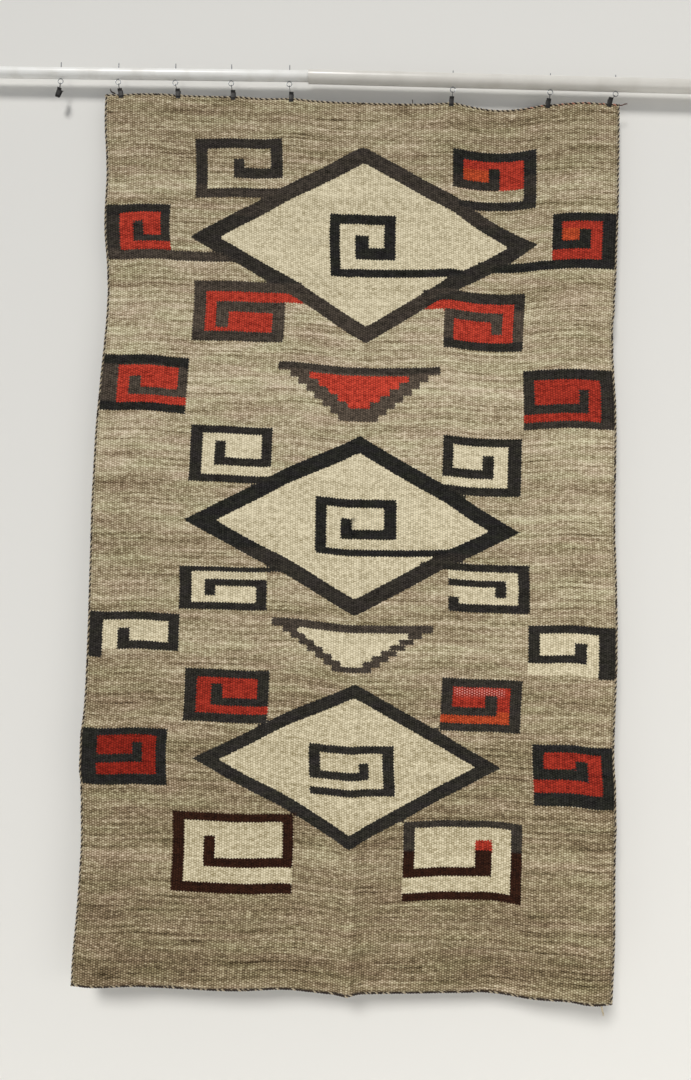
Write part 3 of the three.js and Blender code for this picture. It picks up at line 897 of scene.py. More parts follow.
    def build(self, pattern: Pattern, finish: bpy.types.Material) -> bpy.types.Object:
        """Makes the cloth with its pattern on its points and its own map in metres of cloth.

        Args:
            pattern: the design that is woven into it.
            finish: the wool.

        Returns:
            The cloth's object.
        """
        cell = (self.wide / self.columns, self.long / self.rows)
        across, down = np.meshgrid(np.linspace(-self.wide / 2, self.wide / 2, self.columns + 1),
                                   np.linspace(0.0, self.long, self.rows + 1), indexing="ij")
        inner_across, inner_down = pattern.met_by(across, down, cell)
        across[1:-1, :] = inner_across[1:-1, :]
        down[:, 1:-1] = inner_down[:, 1:-1]
        front, back = self.surface(across, down)
        points = np.concatenate([front.reshape(-1, 3), back.reshape(-1, 3)])
        woven = pattern.woven(across, down)
        marks = {name: np.tile(values.ravel(), 2) for name, values in woven.items()}
        marks["lot"] = np.tile(FieldLotsAndShade().tone(across, down).ravel(), 2)
        marks["worn"] = np.tile(pattern.worn(across, down).ravel(), 2)
        piece = new_piece("rug_weave", points, self.faces(woven[Dye.DARK.value]), finish, "wool_cloth",
                          ["rug_cloth"], marks)
        corner = np.zeros(len(piece.data.loops), np.int32)
        piece.data.loops.foreach_get("vertex_index", corner)
        place = np.tile(np.stack([across.ravel(), down.ravel()], -1) * MM, (2, 1))
        own_map = piece.data.uv_layers.new(name="cloth")
        own_map.data.foreach_set("uv", place[corner].astype(np.float32).ravel())
        return piece


@dataclass(frozen=True)
class FieldLotsAndShade:
    """How the field's grey-tan changes down the cloth: bands of the yarn's lots, and painted shade that
    darkens it towards the bottom.
    """

    # Lightest about 700 mm down and darker towards the bottom: partly the yarn's lots, partly painted
    # shade.
    lots: tuple[tuple[float, float], ...] = (
        (0, 0.49), (70, 0.51), (160, 0.56), (330, 0.59), (520, 0.62), (700, 0.65), (860, 0.63),
        (1050, 0.60), (1240, 0.56), (1330, 0.59), (1500, 0.51), (1640, 0.48), (1760, 0.45), (1850, 0.48),
        (1960, 0.48), (2080, 0.43), (2190, 0.44))
    lot_drift: tuple[float, float] = (900.0, 6.0)
    band: float = 46.0
    depth: float = 0.06
    fold_line: tuple[tuple[float, float], ...] = ((0, -26), (548, 6), (2190, 14))
    # Painted highlight on the crease and painted shade beside it: how far right of the fold line, half
    # width, change.
    crease_highlight_and_shade: tuple[tuple[float, float, float], ...] = ((0.0, 8.0, 0.06), (17.0, 12.0, -0.045))
    crease_shading_waver: tuple[float, float] = (210.0, 0.6)
    spots: tuple[tuple[float, float, float, float, float], ...] = (
        (-565, 2162, 26, 16, -0.22), (-456, 38, 62, 6, -0.22), (-350, 9, 46, 12, -0.16),
        (110, 12, 30, 10, -0.14), (-578, 2117, 22, 5, 0.16), (300, 24, 60, 14, -0.10),
        (560, 14, 70, 16, -0.10), (0, 60, 220, 60, 0.05), (-540, 1130, 170, 170, -0.04),
        (-500, 2080, 260, 130, -0.06), (480, 2070, 260, 130, -0.03), (540, 560, 150, 130, -0.05),
        # The spot at -560 across and 985 down is painted shade of a fold.
        (-560, 1500, 150, 90, -0.03), (-560, 985, 90, 15, -0.10), (-280, 1872, 150, 90, -0.05),
        (285, 1880, 150, 90, -0.03), (520, 110, 110, 90, -0.03))

    def tone(self, across: np.ndarray, down: np.ndarray) -> np.ndarray:
        """The field's lightness: uneven bands that drift a little across, the crease's painted highlight
        and shade, and the spots.

        Along the line of the old fold a paler strip is painted highlight on the crease, with a darker strip
        on its right as its painted shade. Each strip is given by how far right of the line it lies, its
        half width and what it adds. A spot is a darker or paler patch, such as a stain or a dark weft line,
        given by its middle, its half sizes across and down, and what it adds; the one at -560 across and
        985 down is painted shade of a fold.
        Strips and spots fade out as bell curves.

        Args:
            across: places across the cloth.
            down: places down it.

        Returns:
            The lightness at each place.
        """
        drift = down + self.lot_drift[1] * waves(across, self.lot_drift[0], 11)
        lot = through(np.array(self.lots, float), drift)
        lot += self.depth * waves(drift + 0.01 * across, 4 * self.band, 12, 7)
        beside = across - through(np.array(self.fold_line, float), down)
        waver = 1.0 + self.crease_shading_waver[1] * waves(down, self.crease_shading_waver[0], 14, 3)
        # painted highlight and shade along the crease
        for right, half_wide, change in self.crease_highlight_and_shade:
            lot += change * waver * np.exp(-(((beside - right) / half_wide) ** 2))
        for middle, low, half_wide, half_tall, change in self.spots:
            away = ((across - middle) / half_wide) ** 2 + ((down - low) / half_tall) ** 2
            lot += change * np.exp(-away)
        return lot


@dataclass(frozen=True)
class Yarn:
    """A dyed yarn as two sRGB hex colours: that of its deep flecks, and that of its light ones."""

    deep: str
    light: str

    def spun(self, tree: bpy.types.NodeTree, tint: bpy.types.NodeSocket) -> bpy.types.NodeSocket:
        """Adds the yarn's colour at a tint from 0, deep, to 1, light."""
        return add_node(tree, "Mix", {0: tint, 6: self.deep, 7: self.light}, COLOUR, data_type="RGBA")


@dataclass(frozen=True)
class SoftFlecks:
    """The soft unevenness of handspun wool: a noise of a size in millimetres across and down the cloth.

    What lies between low and high is spread out to 0 to 1.
    """

    across: float
    down: float
    detail: float
    low: float = 0.3
    high: float = 0.7

    def over(self, tree: bpy.types.NodeTree, mm: bpy.types.NodeSocket) -> bpy.types.NodeSocket:
        """Adds the flecks over the cloth's places in millimetres.

        Args:
            tree: the material's nodes.
            mm: the place on the cloth.

        Returns:
            The flecks, from 0 to 1.
        """
        place = add_node(tree, "Mapping", {0: mm, "Scale": (1 / self.across, 1 / self.down, 1.0)})
        noise = add_node(tree, "TexNoise", {"Vector": place, "Scale": 1.0, "Detail": self.detail,
                                            "Roughness": 0.6})
        return add_node(tree, "MapRange", {0: noise, 1: self.low, 2: self.high})


@dataclass(frozen=True)
class WovenWool:
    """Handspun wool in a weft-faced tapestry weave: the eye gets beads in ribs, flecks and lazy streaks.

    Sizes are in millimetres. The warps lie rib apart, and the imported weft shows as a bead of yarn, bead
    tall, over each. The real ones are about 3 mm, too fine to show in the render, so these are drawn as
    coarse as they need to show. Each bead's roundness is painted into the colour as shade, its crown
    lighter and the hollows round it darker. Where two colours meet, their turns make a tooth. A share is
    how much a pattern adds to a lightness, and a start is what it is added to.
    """

    rib: float = 6.1
    bead: float = 5.9
    bead_flank: float = 3.2
    tooth: float = 7.2
    tooth_reach: float = 1.5
    wander_reach: float = 0.9
    edge_blur: float = 0.6
    wander: SoftFlecks = SoftFlecks(14.0, 14.0, 1.0, 0.2, 0.8)
    flecks: SoftFlecks = SoftFlecks(15.0, 4.0, 2.0)
    streaks: SoftFlecks = SoftFlecks(170.0, 7.5, 3.0, 0.28, 0.72)
    wefts: SoftFlecks = SoftFlecks(260.0, 5.0, 2.0)
    patches: SoftFlecks = SoftFlecks(60.0, 22.0, 2.0, 0.35, 0.65)
    hues: SoftFlecks = SoftFlecks(160.0, 34.0, 2.0)
    bead_shade_share: float = 0.39
    fleck_share: float = 0.44
    light_start: float = -0.35
    streak_share: float = 0.34
    field_start: float = -0.16
    odd_wefts: tuple[tuple[float, float, float], ...] = ((0.30, 0.06, -0.18), (0.74, 0.94, 0.12))
    tint_share: float = 1.7
    tint_streak_share: float = 0.24
    tint_start: float = 0.40
    cream_lot_share: float = 0.9
    cream_start: float = -0.45
    grey_from: float = 0.5
    worn_above: float = 0.5
    worn_red: str = "d8938a"
    field: tuple[tuple[float, str], ...] = (
        (0.05, "33291b"), (0.40, "7b6c54"), (0.62, "ab9e84"), (1.0, "eae1ca"))
    field_hues: Yarn = Yarn("fff7f7", "fbfff3")
    cream: Yarn = Yarn("857753", "eee3c5")
    red: Yarn = Yarn("2e0704", "9a281b")
    bright_red: Yarn = Yarn("66140d", "e4533f")
    orange: Yarn = Yarn("621b0d", "d65a33")
    black: Yarn = Yarn("050404", "343232")
    green_black: Yarn = Yarn("050604", "35352e")
    grey: Yarn = Yarn("17130f", "6d6054")
    brown: Yarn = Yarn("070201", "3d2216")

    def material(self) -> bpy.types.Material:
        """Builds the finish from the cloth's own map, in millimetres, and the pattern on its points.

        Returns:
            The finish.
        """
        finish, tree, shader = new_finish("handspun_wool_tapestry_woven")
        place = add_node(tree, "UVMap", uv_map="cloth")
        mm = add_node(tree, "VectorMath", {0: place, "Scale": 1 / MM}, operation="SCALE")
        across, down, _ = add_node(tree, "SeparateXYZ", {0: mm}).node.outputs
        bead, grain = self.beads(tree, mm, across, down)
        streak = self.streaks.over(tree, mm)
        light = self.lightness(tree, bead, grain)
        base = self.undyed(tree, mm, light, streak)
        yarns = self.dyed(tree, mm, bead, light, streak)
        colour = self.inlaid(tree, base, yarns, self.teeth(tree, mm, across, down))
        height = add_node(tree, "Math", {0: bead, 1: 0.8, 2: grain}, operation="MULTIPLY_ADD")
        bump = add_node(tree, "Bump", {"Strength": 0.4, "Distance": 0.7 * MM, "Height": height})
        feed(shader, {"Base Color": colour, "Normal": bump, "Roughness": 0.95, "Specular IOR Level": 0.1,
                      "Sheen Weight": 0.02, "Sheen Roughness": 0.5})
        return finish

    def beads(self, tree: bpy.types.NodeTree, mm: bpy.types.NodeSocket, across: bpy.types.NodeSocket,
              down: bpy.types.NodeSocket) -> tuple[bpy.types.NodeSocket, bpy.types.NodeSocket]:
        """The beads' roundness, highest in the middle of each, and a random tone for each with soft flecks.

        Beads on the next rib lie half a bead lower. A bead's roundness is the product of two triangle
        waves, one down the rib and one over it that is cut off flat.

        Args:
            tree: the material's nodes.
            mm: the place on the cloth in millimetres.
            across: its place across.
            down: its place down.

        Returns:
            The beads' roundness and their tone.
        """
        add = partial(add_node, tree)
        rib = add("Math", {0: across, 1: self.rib}, operation="DIVIDE")
        whole = add("Math", {0: rib}, operation="FLOOR")
        lower = add("Math", {0: whole, 1: 0.5}, operation="MULTIPLY")
        row = add("Math", {0: down, 1: 1 / self.bead, 2: lower}, operation="MULTIPLY_ADD")
        cell = add("CombineXYZ", {0: whole, 1: add("Math", {0: row}, operation="FLOOR")})
        chance = add("TexWhiteNoise", {"Vector": cell}, "Value")
        over_rib = add("Math", {0: rib, 1: 0.5}, operation="PINGPONG")
        steep = add("Math", {0: over_rib, 1: self.bead_flank}, operation="MULTIPLY")
        flat = add("Math", {0: steep, 1: 1.0}, operation="MINIMUM")
        down_rib = add("Math", {0: row, 1: 0.5}, operation="PINGPONG")
        full = add("Math", {0: down_rib, 1: 2.0}, operation="MULTIPLY")
        bead = add("Math", {0: full, 1: flat}, operation="MULTIPLY")
        return bead, add("Mix", {0: 0.5, 2: chance, 3: self.flecks.over(tree, mm)})

    def teeth(self, tree: bpy.types.NodeTree, mm: bpy.types.NodeSocket, across: bpy.types.NodeSocket,
              down: bpy.types.NodeSocket) -> bpy.types.NodeSocket:
        """How far an edge of the pattern is pushed out: teeth along it, and some wander.

        The teeth are a triangle wave along the edge: read down the cloth where "upright" is 1, and across
        it where that is 0.

        Args:
            tree: the material's nodes.
            mm: the place on the cloth in millimetres.
            across: its place across.
            down: its place down.

        Returns:
            The push, in millimetres.
        """
        add = partial(add_node, tree)
        upright = add("Attribute", out="Fac", attribute_name="upright")
        slope = 2 * self.tooth_reach / (self.tooth / 2)
        combs = []
        for along in (across, down):
            saw = add("Math", {0: along, 1: self.tooth / 2}, operation="PINGPONG")
            combs.append(add("Math", {0: saw, 1: slope, 2: -self.tooth_reach}, operation="MULTIPLY_ADD"))
        comb = add("Mix", {0: upright, 2: combs[0], 3: combs[1]})
        soft = self.wander.over(tree, mm)
        wander = add("Math", {0: soft, 1: 2 * self.wander_reach, 2: -self.wander_reach},
                     operation="MULTIPLY_ADD")
        return add("Math", {0: comb, 1: wander}, operation="ADD")

    def lightness(self, tree: bpy.types.NodeTree, bead: bpy.types.NodeSocket,
                  grain: bpy.types.NodeSocket) -> bpy.types.NodeSocket:
        """The lightness that the beads' painted shade and their grain give, about 0 on the whole.

        Args:
            tree: the material's nodes.
            bead: the beads' roundness.
            grain: their tone.

        Returns:
            The lightness.
        """
        # Painted shade of the weave: the beads' crowns lighter, the hollows between beads and ribs darker.
        bead_shade = add_node(tree, "Math", {0: bead, 1: self.bead_shade_share, 2: self.light_start},
                         operation="MULTIPLY_ADD")
        return add_node(tree, "Math", {0: grain, 1: self.fleck_share, 2: bead_shade}, operation="MULTIPLY_ADD")

    def undyed(self, tree: bpy.types.NodeTree, mm: bpy.types.NodeSocket, light: bpy.types.NodeSocket,
               streak: bpy.types.NodeSocket) -> bpy.types.NodeSocket:
        """The field's colour: a ramp over its lot, its beads' painted shade, its streaks and odd darker or
        paler wefts.

        Args:
            tree: the material's nodes.
            mm: the place on the cloth in millimetres.
            light: the beads' painted shade and their grain.
            streak: the lazy streaks.

        Returns:
            The colour.
        """
        add = partial(add_node, tree)
        lot = add("Attribute", out="Fac", attribute_name="lot")
        value = add("Math", {0: light, 1: lot}, operation="ADD")
        value = add("Math", {0: streak, 1: self.streak_share, 2: value}, operation="MULTIPLY_ADD")
        value = add("Math", {0: value, 1: self.field_start}, operation="ADD")
        weft = self.wefts.over(tree, mm)
        for start, end, change in self.odd_wefts:
            line = add("MapRange", {0: weft, 1: start, 2: end, 4: change})
            value = add("Math", {0: line, 1: value}, operation="ADD")
        ramp = add("ValToRGB", {0: value})
        stops = ramp.node.color_ramp.elements
        for at, colour in self.field[1:-1]:
            stops.new(at).color = linear(colour)
        for stop, (at, colour) in ((stops[0], self.field[0]), (stops[-1], self.field[-1])):
            stop.position, stop.color = at, linear(colour)
        hue = self.field_hues.spun(tree, self.hues.over(tree, mm))
        return add("Mix", {0: 1.0, 6: ramp, 7: hue}, COLOUR, data_type="RGBA", blend_type="MULTIPLY")

    def dyed(self, tree: bpy.types.NodeTree, mm: bpy.types.NodeSocket, bead: bpy.types.NodeSocket,
             light: bpy.types.NodeSocket, streak: bpy.types.NodeSocket) -> dict[Dye, bpy.types.NodeSocket]:
        """The colour of each dyed yarn, from its deep to its light flecks.

        The red runs from deep to bright by "glow". The dark runs from black, in patches a green one, to
        grey by "tone", and turns brown by "brown". The cream is paler where the field's lot is paler, so it
        shares that lot's painted shade towards the bottom.

        Args:
            tree: the material's nodes.
            mm: the place on the cloth in millimetres.
            bead: the beads' roundness.
            light: the beads' painted shade and their grain.
            streak: the lazy streaks.

        Returns:
            The colours, in the order in which they are laid over the field.
        """
        add = partial(add_node, tree)
        mark = {name: add("Attribute", out="Fac", attribute_name=name)
                for name in ("lot", "tone", "brown", "glow", "worn")}
        tint = add("Math", {0: streak, 1: self.tint_streak_share, 2: self.tint_start},
                   operation="MULTIPLY_ADD")
        # The tint carries the beads' painted shade into every dyed yarn.
        tint = add("Math", {0: light, 1: self.tint_share, 2: tint}, operation="MULTIPLY_ADD")
        over = partial(add, "Mix", out=COLOUR, data_type="RGBA")
        red = over({0: mark["glow"], 6: self.red.spun(tree, tint), 7: self.bright_red.spun(tree, tint)})
        raised = add("Math", {0: bead, 1: self.worn_above}, operation="GREATER_THAN")
        fleck = add("Math", {0: mark["worn"], 1: raised}, operation="MULTIPLY")
        patch = self.patches.over(tree, mm)
        black = over({0: patch, 6: self.black.spun(tree, tint), 7: self.green_black.spun(tree, tint)})
        greyed = add("MapRange", {0: mark["tone"], 1: 0.0, 2: self.grey_from})
        dark = over({0: greyed, 6: black, 7: self.grey.spun(tree, tint)})
        pale = add("Math", {0: tint, 1: self.cream_start}, operation="ADD")
        # The cream follows the field's lot, its painted shade towards the bottom included.
        pale = add("Math", {0: mark["lot"], 1: self.cream_lot_share, 2: pale}, operation="MULTIPLY_ADD")
        return {
            Dye.CREAM: self.cream.spun(tree, pale),
            Dye.RED: over({0: fleck, 6: red, 7: self.worn_red}),
            Dye.ORANGE: self.orange.spun(tree, tint),
            Dye.DARK: over({0: mark["brown"], 6: dark, 7: self.brown.spun(tree, tint)}),
        }

    def inlaid(self, tree: bpy.types.NodeTree, colour: bpy.types.NodeSocket,
               yarns: dict[Dye, bpy.types.NodeSocket], shift: bpy.types.NodeSocket) -> bpy.types.NodeSocket:
        """The field with each dyed yarn laid over it, inside that yarn's edge as the teeth push it out.

        Args:
            tree: the material's nodes.
            colour: the field's colour.
            yarns: the dyed yarns' colours.
            shift: the teeth's push.

        Returns:
            The cloth's colour.
        """
        for dye, yarn in yarns.items():
            off = add_node(tree, "Attribute", out="Fac", attribute_name=dye.value)
            pushed = add_node(tree, "Math", {0: off, 1: shift}, operation="ADD")
            inside = add_node(tree, "MapRange", {0: pushed, 1: self.edge_blur, 2: -self.edge_blur})
            colour = add_node(tree, "Mix", {0: inside, 6: colour, 7: yarn}, COLOUR, data_type="RGBA")
        return colour


@dataclass(frozen=True)
class PliedYarn:
    """Plied wool yarn, spun and twisted: the eye gets dark turns with paler ones between, and some fuzz."""

    dark: Yarn = Yarn("120c08", "3a2a1e")
    pale: Yarn = Yarn("9c8c70", "d8cbb0")
    coral: Yarn = Yarn("8c3326", "d8775c")
    fuzz_size: float = 1.6

    def material(self) -> bpy.types.Material:
        """Builds the finish from the numbers pale and coral on the yarn's points and a fine noise.

        Returns:
            The finish.
        """
        finish, tree, shader = new_finish("plied_wool_yarn_twisted")
        place = add_node(tree, "TexCoord", out="Object")
        fuzz = add_node(tree, "TexNoise", {"Vector": place, "Scale": 1 / (self.fuzz_size * MM),
                                           "Detail": 3.0})
        tint = add_node(tree, "MapRange", {0: fuzz, 1: 0.3, 2: 0.7})
        colour = self.dark.spun(tree, tint)
        for name, yarn in (("pale", self.pale), ("coral", self.coral)):
            share = add_node(tree, "Attribute", out="Fac", attribute_name=name)
            colour = add_node(tree, "Mix", {0: share, 6: colour, 7: yarn.spun(tree, tint)}, COLOUR,
                              data_type="RGBA")
        bump = add_node(tree, "Bump", {"Strength": 0.5, "Distance": 0.3 * MM, "Height": fuzz})
        feed(shader, {"Base Color": colour, "Normal": bump, "Roughness": 0.9, "Specular IOR Level": 0.25,
                      "Sheen Weight": 0.2})
        return finish


@dataclass(frozen=True)
class WhitePipe:
    """White plastic pipe, extruded: the eye gets a satin shine, faint grime and fine scratches along it."""

    name: str
    clean: str
    grime: str
    cloud_size: float = 60.0
    scratch_long: float = 90.0
    scratch_wide: float = 1.2

    def material(self) -> bpy.types.Material:
        """Builds the finish from Object coordinates, with scratches that run along the rod.

        Returns:
            The finish.
        """
        finish, tree, shader = new_finish(self.name)
        place = add_node(tree, "TexCoord", out="Object")
        cloud = add_node(tree, "TexNoise", {"Vector": place, "Scale": 1 / (self.cloud_size * MM),
                                            "Detail": 4.0})
        fine = 1 / (self.scratch_wide * MM)
        along = add_node(tree, "Mapping", {0: place, "Scale": (1 / (self.scratch_long * MM), fine, fine)})
        scratch = add_node(tree, "TexNoise", {"Vector": along, "Scale": 1.0, "Detail": 2.0})
        worn = add_node(tree, "MapRange", {0: scratch, 1: 0.66, 2: 0.74})
        dirt = add_node(tree, "MapRange", {0: cloud, 1: 0.45, 2: 0.8, 4: 0.6})
        share = add_node(tree, "Math", {0: worn, 1: dirt}, operation="MAXIMUM")
        colour = add_node(tree, "Mix", {0: share, 6: self.clean, 7: self.grime}, COLOUR, data_type="RGBA")
        rough = add_node(tree, "MapRange", {0: share, 3: 0.28, 4: 0.55})
        bump = add_node(tree, "Bump", {"Strength": 0.15, "Distance": 0.1 * MM, "Height": scratch})
        feed(shader, {"Base Color": colour, "Roughness": rough, "Normal": bump, "IOR": 1.5})
        return finish


@dataclass(frozen=True)
class WireMetal:
    """A metal of the fittings, named for how its surface was made: the eye gets dull and bright patches."""

    name: str
    bright: str
    dull: str
    metallic: float
    rough: tuple[float, float]
    patch: float

    def material(self) -> bpy.types.Material:
        """Builds the finish from a noise of patch size on Object coordinates.

        Returns:
            The finish.
        """
        finish, tree, shader = new_finish(self.name)
        place = add_node(tree, "TexCoord", out="Object")
        patch = add_node(tree, "TexNoise", {"Vector": place, "Scale": 1 / (self.patch * MM), "Detail": 4.0})
        share = add_node(tree, "MapRange", {0: patch, 1: 0.35, 2: 0.65})
        colour = add_node(tree, "Mix", {0: share, 6: self.bright, 7: self.dull}, COLOUR, data_type="RGBA")
        rough = add_node(tree, "MapRange", {0: share, 3: self.rough[0], 4: self.rough[1]})
        bump = add_node(tree, "Bump", {"Strength": 0.2, "Distance": 0.05 * MM, "Height": patch})
        feed(shader, {"Base Color": colour, "Roughness": rough, "Normal": bump, "Metallic": self.metallic})
        return finish


@dataclass
class EdgeCords:
    """The four two-ply cords that finish the cloth, and the places where loose ends of yarn leave them.

    A waver is a length and how much it changes along it. The pale ply of an edge has a share of paleness,
    and the larger the number after it, the less often it is hidden.
    """

    cloth: HungCloth
    radius: float = 2.3
    gap: float = 0.35
    ply_radius: float = 1.7
    wound: float = 1.3
    sides: int = 6
    turns: int = 9
    top_lay: float = 13.0
    side_lay: float = 14.0
    turn_waver: tuple[float, float] = (90.0, 0.8)
    ply_waver: tuple[float, float] = (31.0, 0.1)
    pale: tuple[tuple[Edge, float, float], ...] = (
        (Edge.TOP, 1.0, 0.9), (Edge.HEM, 0.85, 0.1), (Edge.LEFT, 0.9, 0.9), (Edge.RIGHT, 0.9, 0.9))
    pale_stretch: float = 60.0
    coral_from: float = 380.0
    coral_stretch: float = 44.0
    coral_share: float = 0.65

    def lay(self, edge: Edge) -> float:
        """The length of one turn of an edge's cord."""
        return self.top_lay if edge.level else self.side_lay

    def centre(self, edge: Edge) -> np.ndarray:
        """A cord's centre line, just off the cloth's edge, in steps of a share of its lay.

        Args:
            edge: the edge that the cord is sewn to.

        Returns:
            The line's points. A level cord also runs over the ends of the side cords.
        """
        out, lay = self.radius + self.gap, self.lay(edge)
        if edge.level:
            reach, top = self.cloth.wide / 2, edge is Edge.TOP
            across = np.linspace(-reach, reach, int(2 * reach / lay * self.turns))
            line = self.cloth.point(across, np.full_like(across, 0.0 if top else self.cloth.long))
            line[:, 2] += out if top else -out
            over = np.array([2 * self.radius + self.gap, 0.0, 0.0])
            steps = np.linspace(1.0, 0.0, 5)[:-1, None]
            return np.concatenate([line[0] - over * steps, line, line[-1] + over * steps[::-1]])
        side = -1.0 if edge is Edge.LEFT else 1.0
        down = np.linspace(0.0, self.cloth.long, int(self.cloth.long / lay * self.turns))
        across = np.full_like(down, side * self.cloth.wide / 2)
        line = self.cloth.point(across, down)
        line[:, 1] += self.cloth.puckers(across, down)
        line[:, 0] += side * out
        return line

    def root(self, edge: Edge, x: float, way: Leaves) -> np.ndarray:
        """Where a loose end starts: just off the cord's round, or off its cut end.

        Args:
            edge: the cord's edge.
            x: how far along it.
            way: how the end leaves the cord.

        Returns:
            The point.
        """
        line = self.centre(edge)
        at = np.clip(x, line[0, 0], line[-1, 0])
        root = np.array([at, *[np.interp(at, line[:, 0], line[:, axis]) for axis in (1, 2)]])
        out = self.radius + self.gap
        return root + np.array({Leaves.UP: (0.0, 0.0, out), Leaves.DOWN: (0.0, 0.0, -out),
                                Leaves.END: (self.gap, 0.0, 0.0)}[way])

    def plies(self, line: np.ndarray, lay: float, seed: int) -> list[Shell]:
        """Two strands wound round a line half a turn apart.

        Each strand's centre circles the line once in each lay, in the plane square to it, at the distance
        that leaves the cord its radius. The lay and the strands' thickness waver as hand twisting does.

        Args:
            line: the cord's centre line.
            lay: the length of one turn.
            seed: picks how it wavers.

        Returns:
            The two strands.
        """
        along = np.r_[0.0, np.cumsum(np.linalg.norm(np.diff(line, axis=0), axis=1))]
        across, up = square_to(line)
        turn = 2 * math.pi * along / lay + self.turn_waver[1] * waves(along, self.turn_waver[0], seed)
        thick = 1.0 + self.ply_waver[1] * waves(along, self.ply_waver[0], seed + 7)
        strands = []
        for half in (0.0, math.pi):
            wind = np.cos(turn + half)[:, None] * across + np.sin(turn + half)[:, None] * up
            strands.append(carried(circle(self.ply_radius, self.sides), line + self.wound * wind, thick))
        return strands

    def build(self, finish: bpy.types.Material) -> list[bpy.types.Object]:
        """Makes the four cords, each with its dark and its pale ply.

        Args:
            finish: the yarn.

        Returns:
            The cords' objects.
        """
        pieces = []
        for seed, (edge, pale, seen) in enumerate(self.pale, 20):
            points, faces, ply = joined(self.plies(self.centre(edge), self.lay(edge), seed))
            spot = points[:, 0] if edge.level else points[:, 2]
            shown = smooth((waves(spot, self.pale_stretch, 41) + seen) * 3.0)
            red = 0.0 * spot
            if edge is Edge.TOP:
                red = smooth((spot - self.coral_from) / 60.0) * (waves(spot, self.coral_stretch, 43) > 0.2)
            marks = {"pale": ply * pale * shown, "coral": self.coral_share * red * ply}
            pieces.append(new_piece(f"{edge.value}_cord_two_ply", points, faces, finish, "edge_cord",
                                    [f"{edge.value}_edge_cord"], marks))
        return pieces


@dataclass(frozen=True)
class LooseEnd:
    """A loose end of yarn: where on its cord it starts, how it leaves, and its path from there."""

    node: str
    edge: Edge
    x: float
    way: Leaves
    path: tuple[tuple[float, float, float], ...]
    radius: float
    pale: float
    coral: float = 0.0
    slot: str = "edge_cord"
    strands: int = 3
    steps: int = 40

    def build(self, cords: EdgeCords, finish: bpy.types.Material) -> bpy.types.Object:
        """Makes the end as strands that twist along its path and open towards its tip.

        Args:
            cords: the cords that it leaves.
            finish: the yarn.

        Returns:
            The end's object.
        """
        knots = np.array([(0.0, 0.0, 0.0), *self.path]) + cords.root(self.edge, self.x, self.way)
        reach = np.r_[0.0, np.cumsum(np.linalg.norm(np.diff(knots, axis=0), axis=1))]
        at = np.linspace(0.0, reach[-1], self.steps)
        line = np.stack([through(np.column_stack([reach, knots[:, axis]]), at) for axis in range(3)], -1)
        across, up = square_to(line)
        share = at / reach[-1]
        opened = self.radius * (0.45 + 0.5 * share ** 2)[:, None]
        shells = []
        for number in range(self.strands):
            turn = 2 * math.pi * (at / (5.0 * self.radius) + number / self.strands)
            wind = opened * (np.cos(turn)[:, None] * across + np.sin(turn)[:, None] * up)
            thinned = 1.0 - 0.75 * share ** (2 + number)
            shells.append(carried(circle(0.5 * self.radius, 6), line + wind, thinned))
        points, faces, strand = joined(shells)
        marks = {"pale": np.full(len(points), self.pale), "coral": self.coral * (strand == 1)}
        return new_piece(f"{self.node}_fibres", points, faces, finish, self.slot, [self.node], marks)


@dataclass(frozen=True)
class Tube:
    """One part of the rod: its radius, its two ends along X, its axis height at X = 0 and its droop."""

    node: str
    radius: float
    start: float
    end: float
    axis: float
    droop: float

    def height(self, x: float) -> float:
        """The height of the tube's axis at x."""
        return self.axis - math.tan(self.droop) * x


@dataclass
class Rod:
    """The white rod: a thin tube slid into a wider one."""

    thin: Tube = Tube("rod_thin_tube", 13.35, -950, -78, 2.7, 0.0)
    wide: Tube = Tube("rod_wide_tube", 16.7, -135, 862, 0.0, math.radians(0.8))
    wall: float = 1.6
    lip: float = 0.5
    sides: int = 96

    def at(self, x: float) -> Tube:
        """The tube whose outside shows at x."""
        return self.thin if x < self.wide.start else self.wide

    def wall_shell(self, tube: Tube) -> Shell:
        """The tube's wall: its section, a thin bar with round ends, turned about the tube's axis.

        Args:
            tube: the part of the rod.

        Returns:
            The wall's points and faces.
        """
        section = rounded_bar(tube.end - tube.start, self.wall, self.lip, 4)
        angle = 2 * math.pi * np.arange(self.sides) / self.sides
        along = section[:, 0][None] + (tube.start + tube.end) / 2
        out = section[:, 1][None] + tube.radius - self.wall / 2
        x = np.broadcast_to(along, (self.sides, len(section)))
        points = np.stack([x, out * np.cos(angle)[:, None], out * np.sin(angle)[:, None]], -1)
        turn = np.array([[math.cos(tube.droop), 0, math.sin(tube.droop)], [0, 1, 0],
                         [-math.sin(tube.droop), 0, math.cos(tube.droop)]])
        points = points.reshape(-1, 3) @ turn.T + np.array([0.0, 0.0, tube.axis])
        count = len(section)
        i = np.arange(self.sides)[:, None] * count
        j = (i + count) % (self.sides * count)
        k = np.arange(count)[None]
        m = (k + 1) % count
        faces = np.stack([i + k, i + m, j + m, j + k], -1).reshape(-1, 4)[:, ::-1].tolist()
        return points, faces

    def build(self, thin_finish: bpy.types.Material,
              wide_finish: bpy.types.Material) -> list[bpy.types.Object]:
        """Makes the two tubes, each in its own finish.

        Args:
            thin_finish: the thin tube's plastic.
            wide_finish: the wide tube's plastic, painted darker than the thin tube's as shade.

        Returns:
            The tubes' objects.
        """
        pieces = []
        for tube, finish in ((self.thin, thin_finish), (self.wide, wide_finish)):
            points, faces = self.wall_shell(tube)
            pieces.append(new_piece(f"{tube.node}_extruded", points, faces, finish, "rod_white",
                                    [tube.node]))
        return pieces


